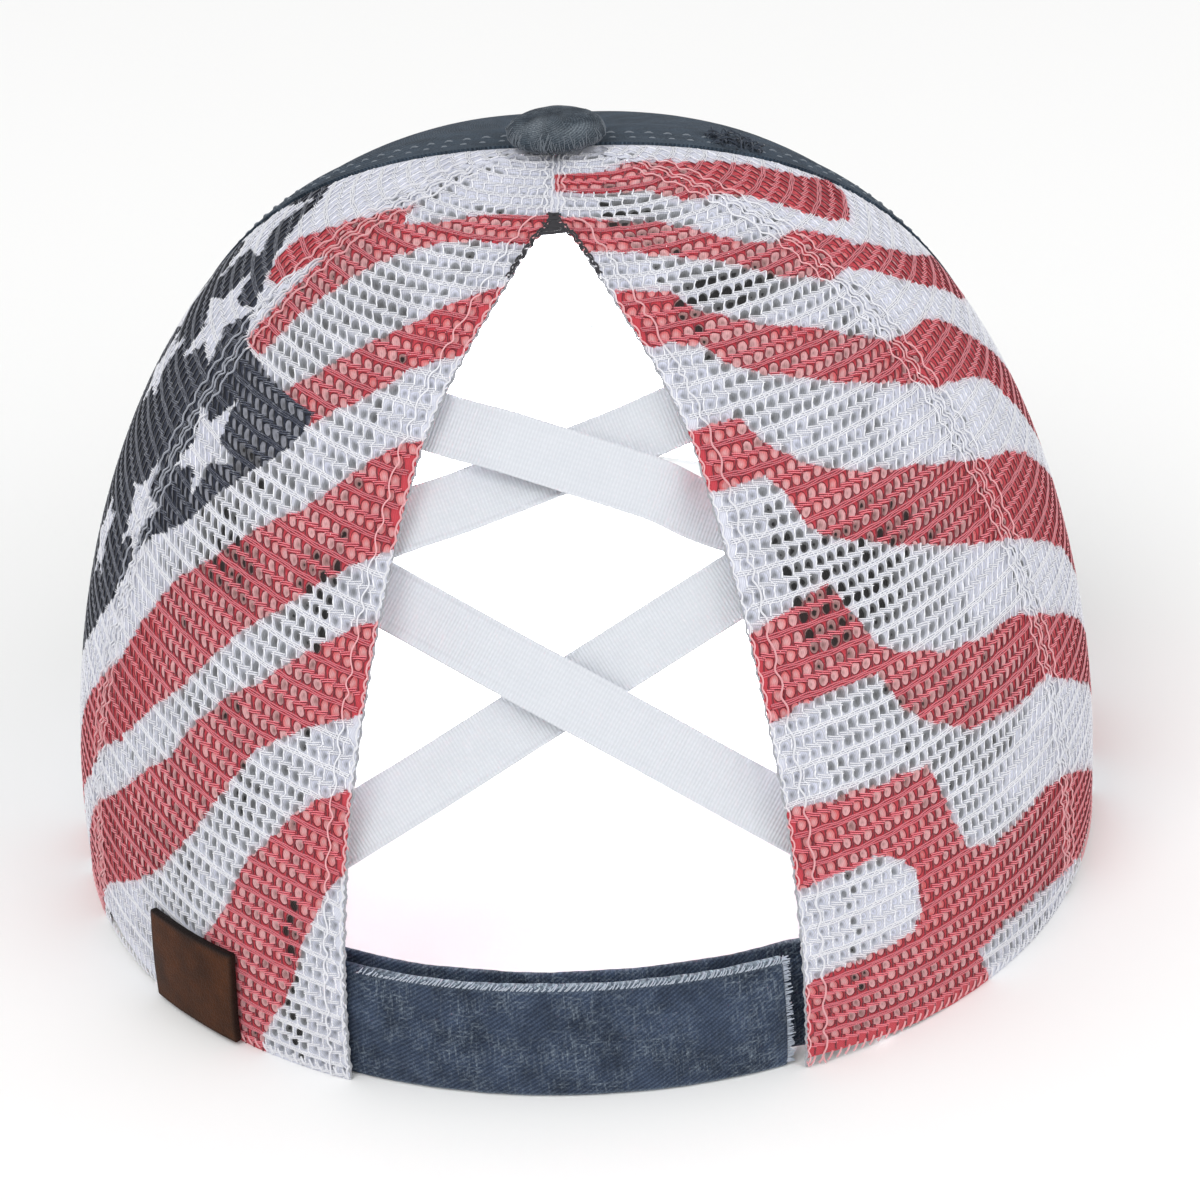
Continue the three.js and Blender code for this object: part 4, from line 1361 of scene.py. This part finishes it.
def covered_button():
    bpy.ops.object.select_all(action="DESELECT")
    bpy.ops.mesh.primitive_uv_sphere_add(segments=96, ring_count=40, radius=1)
    piece = bpy.context.object
    piece.name = piece.data.name = "covered_button"
    flat = np.empty(len(piece.data.vertices) * 3, np.float32)
    piece.data.vertices.foreach_get("co", flat)
    ball = flat.reshape(-1, 3).astype(float)
    turn = np.arctan2(ball[:, 1], ball[:, 0])
    up = np.clip(ball[:, 2], -1, 1)
    where, gathered = button_point(turn, up)
    piece.data.vertices.foreach_set("co", in_frame(where).ravel())
    layer = piece.data.uv_layers[0]
    layer.name = "cloth"
    uv = np.empty(len(piece.data.loops) * 2, np.float32)
    layer.data.foreach_get("uv", uv)
    layer.data.foreach_set("uv", (uv.reshape(-1, 2) * np.array([50, 22])).ravel())
    piece.data.update()
    # The top of the button is painted paler in patches: wear, and a painted highlight where the top faces the
    # light.
    rubbed = np.clip(ripple(ball[:, 0] * 2.4 + 1, ball[:, 1] * 2.4, 73) + 0.3, 0, 1)
    set_wear_and_highlight(piece, 0.3 * np.clip(gathered, 0, 1) + 0.6 * np.clip(up * 1.5 - 0.1, 0, 1) * rubbed)
    smooth(piece, 60)
    paint(piece, button_cotton)
    return finish_piece(piece, "washed_cotton", "top_button")


covered_button()


def button_fibres():
    """Fine fibres that stand off the gathered side of the button, down to its foot."""
    paths = []
    for _ in range(260):
        turn = dice.uniform(0, 2 * math.pi)
        top = dice.uniform(-0.35, 0.62)
        ups = np.linspace(top, max(top - dice.uniform(0.3, 0.8), -0.95), 5)
        turns = turn + np.linspace(0, dice.uniform(-0.10, 0.10), 5)
        paths.append(button_point(turns, ups, 0.05 + dice.uniform(0, 0.25) * np.linspace(0, 1, 5) ** 2)[0])
    sew("button_fibres", paths, 0.055, "washed_cotton", button_fray)


button_fibres()


# Visor.

VISOR_HALF_WIDTH = 82
VISOR_REACH = 68
VISOR_THICKNESS = 3.2
VISOR_CORNER_BEHIND = 1.5
VISOR_FULLNESS = 2.3
VISOR_DROOP = 3
VISOR_ROOT_GAP = 0.15
VISOR_ROWS = (0.14, 0.3, 0.46, 0.62, 0.78, 0.93)
VISOR_STITCH = 2.4
VISOR_STITCH_SPACING = 3.3


def visor_place(u, v, above=VISOR_THICKNESS):
    """A place on the visor: u runs along its edge and v from the root outwards."""
    corner_y = crown_face(float(VISOR_ROOT_ANGLE), 0.0)[1] + VISOR_CORNER_BEHIND
    front_y = crown_face(180.0, 0.0)[1] - VISOR_REACH
    side = 1 - 2 * u
    angle = 180 - side * (180 - VISOR_ROOT_ANGLE)
    root = crown_point(angle, np.zeros_like(angle), -VISOR_ROOT_GAP)
    turn = side * math.pi / 2
    power = 2 / VISOR_FULLNESS
    edge_x = VISOR_HALF_WIDTH * np.sign(turn) * np.abs(np.sin(turn)) ** power
    edge_y = corner_y + (front_y - corner_y) * np.abs(np.cos(turn)) ** power
    rise = rim_height(angle)
    x = root[:, 0] + (edge_x - root[:, 0]) * v
    y = root[:, 1] + (edge_y - root[:, 1]) * v
    return np.stack([x, y, rise - VISOR_DROOP * rise * v / FRONT_RISE + above], -1)


def visor():
    piece = bent_grid("visor", 110, 40, visor_place, (190, 70), navy_cotton, navy_cotton,
                      VISOR_THICKNESS - 0.2, 1.1, 3)
    where = points_of(piece)
    edge = visor_place(np.linspace(0, 1, 400), np.ones(400))
    away = np.min(np.hypot(where[:, None, 0] - edge[None, :, 0], where[:, None, 1] - edge[None, :, 1]), 1)
    set_wear_and_highlight(piece, np.clip(1.15 - away / 1.6, 0, 1) + 0.10)
    return finish_piece(piece, "washed_cotton", "visor")


visor()


def visor_stitches():
    """Rows of stitches round the visor, above and below."""
    paths = []
    for v in VISOR_ROWS:
        u = np.linspace(0.06 * v, 1 - 0.06 * v, 1400)
        for above, bulge in ((VISOR_THICKNESS, 0.12), (0.2, -0.12)):
            line = visor_place(u, np.full_like(u, v), above)
            arc = length_along(line)
            start = 0.5
            while start + VISOR_STITCH < arc[-1]:
                span = np.linspace(start, start + VISOR_STITCH, 5)
                stitch = np.stack([np.interp(span, arc, line[:, k]) for k in range(3)], -1)
                stitch[:, 2] += np.sin(np.linspace(0, math.pi, 5)) * 2 * bulge - bulge
                paths.append(stitch)
                start += VISOR_STITCH_SPACING
    sew("visor_stitches", paths, 0.17, "washed_cotton", pale_fray)


visor_stitches()


# Bands at the rim: the closure straps, the patch between them and the sweatband.

CLOSURE_HEIGHT = 19
CLOSURE_THICKNESS = 1.8
PATCH_THICKNESS = 1.2
PATCH_HEIGHT = 13
PATCH_LENGTH = 38
CLOSURE_SEWN_UNDER = 14
OUTER_STOPS_SHORT = 2.4
INNER_RUNS_PAST = 5
INNER_RAISED = 0.6
NETTING_WALL = 1.4
COTTON_WALL = 1.8
RIM_RADIUS = 92
RIM_MM_PER_DEGREE = 1.7

OUTER_DEPTH = NETTING_WALL + GAP
PATCH_DEPTH = OUTER_DEPTH + CLOSURE_THICKNESS + GAP
INNER_DEPTH = PATCH_DEPTH + PATCH_THICKNESS + GAP
RIM_EDGE_ANGLE = float(opening_angle(0.0))
CLOSURE_END_ANGLE = RIM_EDGE_ANGLE + float(angle_of(CLOSURE_SEWN_UNDER, RIM_EDGE_ANGLE, 0.0))
OUTER_STOP = RIM_EDGE_ANGLE - float(angle_of(OUTER_STOPS_SHORT, RIM_EDGE_ANGLE, 0.0))
INNER_PAST = RIM_EDGE_ANGLE + float(angle_of(INNER_RUNS_PAST, RIM_EDGE_ANGLE, 0.0))


def band_point(angle, height, depth):
    """A place on a band inside the rim, at a height above the table."""
    angle, height = np.asarray(angle, float), np.asarray(height, float)
    share = height * CROWN_HEIGHT / (CROWN_HEIGHT - rim_height(angle))
    return crown_point(angle, climb_at_height(angle, share), depth)


def strap_band(name, cad_node, start, stop, low, high, depth_at, thickness, ends_worn, seed):
    """A folded cotton strap with rounded long edges, a little uneven along them."""
    def place(u, v):
        angle = start + (stop - start) * u
        length = abs(stop - start) * RIM_MM_PER_DEGREE
        uneven = 0.12 * ripple(u * length * 0.25, v * 0 + seed, seed)
        height = low + (high - low) * v + uneven * (2 * v - 1)
        swell = 0.22 * np.sin(math.pi * np.clip(v, 0, 1)) + 0.05 * ripple(u * 14, v * 5, seed + 1)
        return band_point(angle, np.maximum(height, low), depth_at(angle) + 0.25 - swell)

    length = abs(math.radians(stop - start)) * RIM_RADIUS
    piece = bent_grid(name, 110, 26, place, (length, high - low), strap_cotton, strap_cotton,
                      thickness - 0.35, 0.5, 3)
    where = points_of(piece)
    v = (where[:, 2] - low) / (high - low)
    from_edge = np.minimum(v, 1 - v) * (high - low)
    upper_wear, lower_wear = np.clip(1.35 - from_edge, 0, 1), np.clip(1.0 - from_edge / 0.7, 0, 1) * 0.8
    wear = np.where(v > 0.5, upper_wear, lower_wear)
    angle = np.degrees(np.arctan2(where[:, 0], where[:, 1]))
    fade = np.clip((CLOSURE_END_ANGLE - 12 - angle) / 5, 0, 1)
    wear = wear * fade
    if ends_worn:
        end_gap = np.abs(angle - stop) * RIM_MM_PER_DEGREE
        wear = np.maximum(wear, np.clip(1.3 - end_gap / 1.1, 0, 1))
    set_wear_and_highlight(piece, wear)
    return finish_piece(piece, "washed_cotton", cad_node)


def inner_depth(angle):
    """The inner strap's depth: as the outer strap's at its sewn end, and behind the patch farther on."""
    x = np.clip((angle + CLOSURE_END_ANGLE) / (-OUTER_STOP + CLOSURE_END_ANGLE), 0, 1)
    return OUTER_DEPTH + (INNER_DEPTH - OUTER_DEPTH) * x * x * (3 - 2 * x)


strap_band("closure_outer_strap", "closure_strap_outer", CLOSURE_END_ANGLE, -OUTER_STOP, 0.1, CLOSURE_HEIGHT,
           lambda a: OUTER_DEPTH + 0 * a, CLOSURE_THICKNESS, True, 81)
strap_band("closure_inner_strap", "closure_strap_inner", INNER_PAST, -CLOSURE_END_ANGLE, INNER_RAISED,
           CLOSURE_HEIGHT + INNER_RAISED, inner_depth, CLOSURE_THICKNESS, False, 85)


def closure_patch():
    half = float(angle_of(PATCH_LENGTH / 2, 0.0, 0.0))
    low = (CLOSURE_HEIGHT - PATCH_HEIGHT) / 2

    def place(u, v):
        return band_point(half - 2 * half * u, low + PATCH_HEIGHT * v, PATCH_DEPTH)

    piece = bent_grid("hook_and_loop_patch", 50, 18, place, (PATCH_LENGTH, PATCH_HEIGHT),
                      hook_tape, hook_tape, PATCH_THICKNESS, 0.2)
    return finish_piece(piece, "black_patch", "closure_patch")


closure_patch()


def frayed_end():
    """Pale threads that stick out of the outer strap's free end and lie along its top edge."""
    paths = []
    for height in np.arange(0.7, CLOSURE_HEIGHT - 0.2, 0.22):
        for _ in range(2):
            reach = dice.uniform(0.5, 1.5)
            at = height + dice.uniform(-0.1, 0.1)
            spans = np.linspace(-0.6, reach, 5)
            angles = -OUTER_STOP - np.degrees(spans / CROWN_LENGTH_BACK)
            heights = at + np.linspace(0, dice.uniform(-0.35, 0.35), 5)
            depth = OUTER_DEPTH + 0.35 + dice.uniform(0, 0.9) + np.linspace(0, dice.uniform(-0.3, 0.2), 5)
            paths.append(band_point(angles, heights, depth))
    for angle in np.arange(-OUTER_STOP + 0.4, CLOSURE_END_ANGLE - 9, 0.36):
        start = angle + dice.uniform(-0.15, 0.15)
        run = np.linspace(0, dice.uniform(0.35, 0.8), 4)
        heights = CLOSURE_HEIGHT - 0.9 + np.linspace(0, dice.uniform(0.5, 1.05), 4)
        depth = OUTER_DEPTH + 0.12 + np.array([0.1, -0.1, 0.05, 0.45])
        paths.append(band_point(start - run, heights, depth))
    sew("closure_frayed_threads", paths, 0.1, "washed_cotton", pale_fray)


frayed_end()

SWEATBAND_HEIGHT = 29
SWEATBAND_THICKNESS = 1.2
SWEATBAND_ABOVE_RIM = 0.4
SWEATBAND_CLEARANCE = 0.6
SWEATBAND_PAST_STRAP = 3


def sweatband():
    start = CLOSURE_END_ANGLE + float(angle_of(SWEATBAND_PAST_STRAP, CLOSURE_END_ANGLE, 0.0))

    def place(u, v):
        angle = 360 - start + (2 * start - 360) * u
        swell = 0.12 * np.sin(math.pi * v) + 0.06 * ripple(u * 40, v * 3, 91)
        depth = COTTON_WALL + SWEATBAND_CLEARANCE + 0.1 - swell * 0.5
        return band_point(angle, SWEATBAND_ABOVE_RIM + SWEATBAND_HEIGHT * v, depth)

    piece = bent_grid("sweatband", 220, 14, place, (500, SWEATBAND_HEIGHT), band_cotton, band_cotton,
                      SWEATBAND_THICKNESS - 0.2, 0.3)
    return finish_piece(piece, "white_band", "sweatband")


sweatband()


# Elastic straps across the opening.

ELASTIC_WIDTH = 10
ELASTIC_THICKNESS = 1.2
ELASTIC_SEWN_UNDER = 6
ELASTIC_CLEARANCE = 0.55
# How far straps stand out along their length, in strap thicknesses: shares of the length, and levels.
UPPER_FRONT = ([0, 0.18, 0.27, 0.74, 0.86, 1], [0, 0.2, 1.05, 1.05, -1.5, -1.5])
LOWER_FRONT = ([0, 0.14, 0.3, 0.4, 0.6, 0.85, 1], [-1.3, -1.2, 0.4, 0.75, 0.75, 0.1, 0])
BEHIND = ([0, 0.12, 0.24, 0.76, 0.88, 1], [0, 0, -0.9, -0.9, 0, 0])
# The levels are averaged over these steps along the strap, so that it bends softly.
SOFTENED_OVER = (-0.045, -0.03, -0.015, 0, 0.015, 0.03, 0.045)


def elastic_strap(name, cad_node, high_side, high_height, low_height, layers):
    """A ribbed strap from high on one edge of the opening to low on the other."""
    depth = NETTING_WALL + ELASTIC_CLEARANCE

    def end(side, height):
        climb = climb_at_height(0.0, height)
        edge = opening_angle(climb)
        angle = side * (edge + angle_of(ELASTIC_SEWN_UNDER, edge, climb))
        return crown_point(angle, climb, depth), crown_normal(angle, climb)

    high, high_normal = end(high_side, high_height)
    low, low_normal = end(-high_side, low_height)
    run = unit(low - high)
    length = float(np.linalg.norm(low - high))

    def place(u, v):
        out = unit(high_normal + (low_normal - high_normal) * v[:, None])
        across = unit(np.cross(out, run))
        soft = np.mean([np.interp(v + step, *layers) for step in SOFTENED_OVER], 0)
        side = (0.5 - u) * (ELASTIC_WIDTH - 0.2)
        from_edge = ELASTIC_WIDTH / 2 - np.abs(side)
        ridge = 0.12 * np.exp(-(((from_edge - 0.5) / 0.4) ** 2))
        groove = 0.12 * np.exp(-(((from_edge - 1.15) / 0.22) ** 2))
        level = soft * (ELASTIC_THICKNESS + GAP) - 0.16 + (ridge - groove)
        return high + (low - high) * v[:, None] + out * level[:, None] + across * side[:, None]

    piece = bent_grid(name, 34, 90, place, (ELASTIC_WIDTH, length), white_elastic, white_elastic,
                      ELASTIC_THICKNESS - 0.3, 0.15)
    return finish_piece(piece, "white_elastic", cad_node)


elastic_strap("elastic_upper_front", "cross_strap_upper_front", 1, 93, 77, UPPER_FRONT)
elastic_strap("elastic_upper_behind", "cross_strap_upper_behind", -1, 93, 77, BEHIND)
elastic_strap("elastic_lower_front", "cross_strap_lower_front", 1, 71, 33, LOWER_FRONT)
elastic_strap("elastic_lower_behind", "cross_strap_lower_behind", -1, 71, 33, BEHIND)


# Leather label, left bare.

LABEL_WIDTH = 20
LABEL_HEIGHT = 15.5
LABEL_THICKNESS = 1.4
LABEL_ANGLE = 44
LABEL_ABOVE_RIM = 0.6


def leather_label():
    half = float(angle_of(LABEL_WIDTH / 2, float(LABEL_ANGLE), 0.0))

    def place(u, v):
        swell = 0.12 * np.sin(math.pi * u) * np.sin(math.pi * v) + 0.05 * ripple(u * 4, v * 4, 95)
        depth = -(LABEL_THICKNESS + GAP) + 0.15 - swell
        return band_point(LABEL_ANGLE + half - 2 * half * u, LABEL_ABOVE_RIM + LABEL_HEIGHT * v, depth)

    piece = bent_grid("leather_label", 56, 44, place, (LABEL_WIDTH, LABEL_HEIGHT),
                      brown_leather, brown_leather, LABEL_THICKNESS - 0.1, 0.35, 3)
    where = points_of(piece)
    angle = np.degrees(np.arctan2(where[:, 0], where[:, 1]))
    side_gap = (half - np.abs(angle - np.mean([angle.min(), angle.max()]))) / half * LABEL_WIDTH / 2
    end_gap = np.minimum(where[:, 2] - LABEL_ABOVE_RIM, LABEL_ABOVE_RIM + LABEL_HEIGHT - where[:, 2])
    set_wear_and_highlight(piece, 1 - np.minimum(side_gap, end_gap) / 0.8)
    return finish_piece(piece, "brown_leather", "leather_label")


leather_label()


# Floor, light and camera.


def floor():
    bpy.ops.object.select_all(action="DESELECT")
    bpy.ops.mesh.primitive_plane_add(size=8)
    plane = bpy.context.object
    plane.name = "floor"
    material, tree, shader = new_material("pale_floor", 0.9, 0.0, 0.1)
    tone = mix(tree, noise(tree, object_place(tree, 3), 1, 2), (0.955, 0.955, 0.95), (0.965, 0.965, 0.96))
    give_colour(tree, shader, tone)
    paint(plane, material)


floor()


def area_light(name, place, target, size, power, spread=180):
    light = bpy.data.lights.new(name, "AREA")
    light.shape = "DISK"
    light.size = size
    light.energy = power
    light.spread = math.radians(spread)
    lamp = bpy.data.objects.new(name, light)
    lamp.visible_camera = False
    bpy.context.scene.collection.objects.link(lamp)
    lamp.location = place
    lamp.rotation_euler = (Vector(target) - Vector(place)).to_track_quat("-Z", "Y").to_euler()


CAP_MIDDLE = (0, 0.03, 0.05)
area_light("key_light", (0.55, 1.1, 1.3), CAP_MIDDLE, 0.9, 8)
area_light("fill_light", (-0.9, 0.8, 0.7), CAP_MIDDLE, 0.9, 3.2)
area_light("light_inside_crown", (0, 0.03, 0.06), (0, -0.06, 0), 0.04, 0.36, 120)

world = bpy.data.worlds.new("studio")
bpy.context.scene.world = world
world.use_nodes = True
world.node_tree.nodes["Background"].inputs["Color"].default_value = (1, 1, 1, 1)
world.node_tree.nodes["Background"].inputs["Strength"].default_value = 0.84
bpy.context.scene.view_settings.view_transform = "Standard"

CAMERA_AIM = Vector((-0.00318, 0.0368, 0.03659))
CAMERA_DISTANCE = 0.68475
CAMERA_TILT = 26.216
CAMERA_TURN = -2.337
CAMERA_ROLL = -2.809
SENSOR_WIDTH = 36
PHOTO_WIDTH = 1200
# The focal length as a count of the photo's pixels.
FOCAL_PIXELS = 4072.6


def camera():
    tilt, turn, roll = (math.radians(v) for v in (CAMERA_TILT, CAMERA_TURN, CAMERA_ROLL))
    back = Vector((math.sin(turn) * math.cos(tilt), math.cos(turn) * math.cos(tilt), math.sin(tilt)))
    right = Vector((0, 0, 1)).cross(back).normalized()
    up = back.cross(right)
    rolled_right = right * math.cos(roll) + up * math.sin(roll)
    rolled_up = up * math.cos(roll) - right * math.sin(roll)
    lens = bpy.data.cameras.new("camera")
    lens.sensor_width = SENSOR_WIDTH
    lens.lens = FOCAL_PIXELS / PHOTO_WIDTH * SENSOR_WIDTH
    eye = bpy.data.objects.new("camera", lens)
    bpy.context.scene.collection.objects.link(eye)
    place = Matrix((rolled_right, rolled_up, back)).transposed().to_4x4()
    place.translation = CAMERA_AIM + back * CAMERA_DISTANCE
    eye.matrix_world = place
    bpy.context.scene.camera = eye


camera()

bpy.context.view_layer.update()
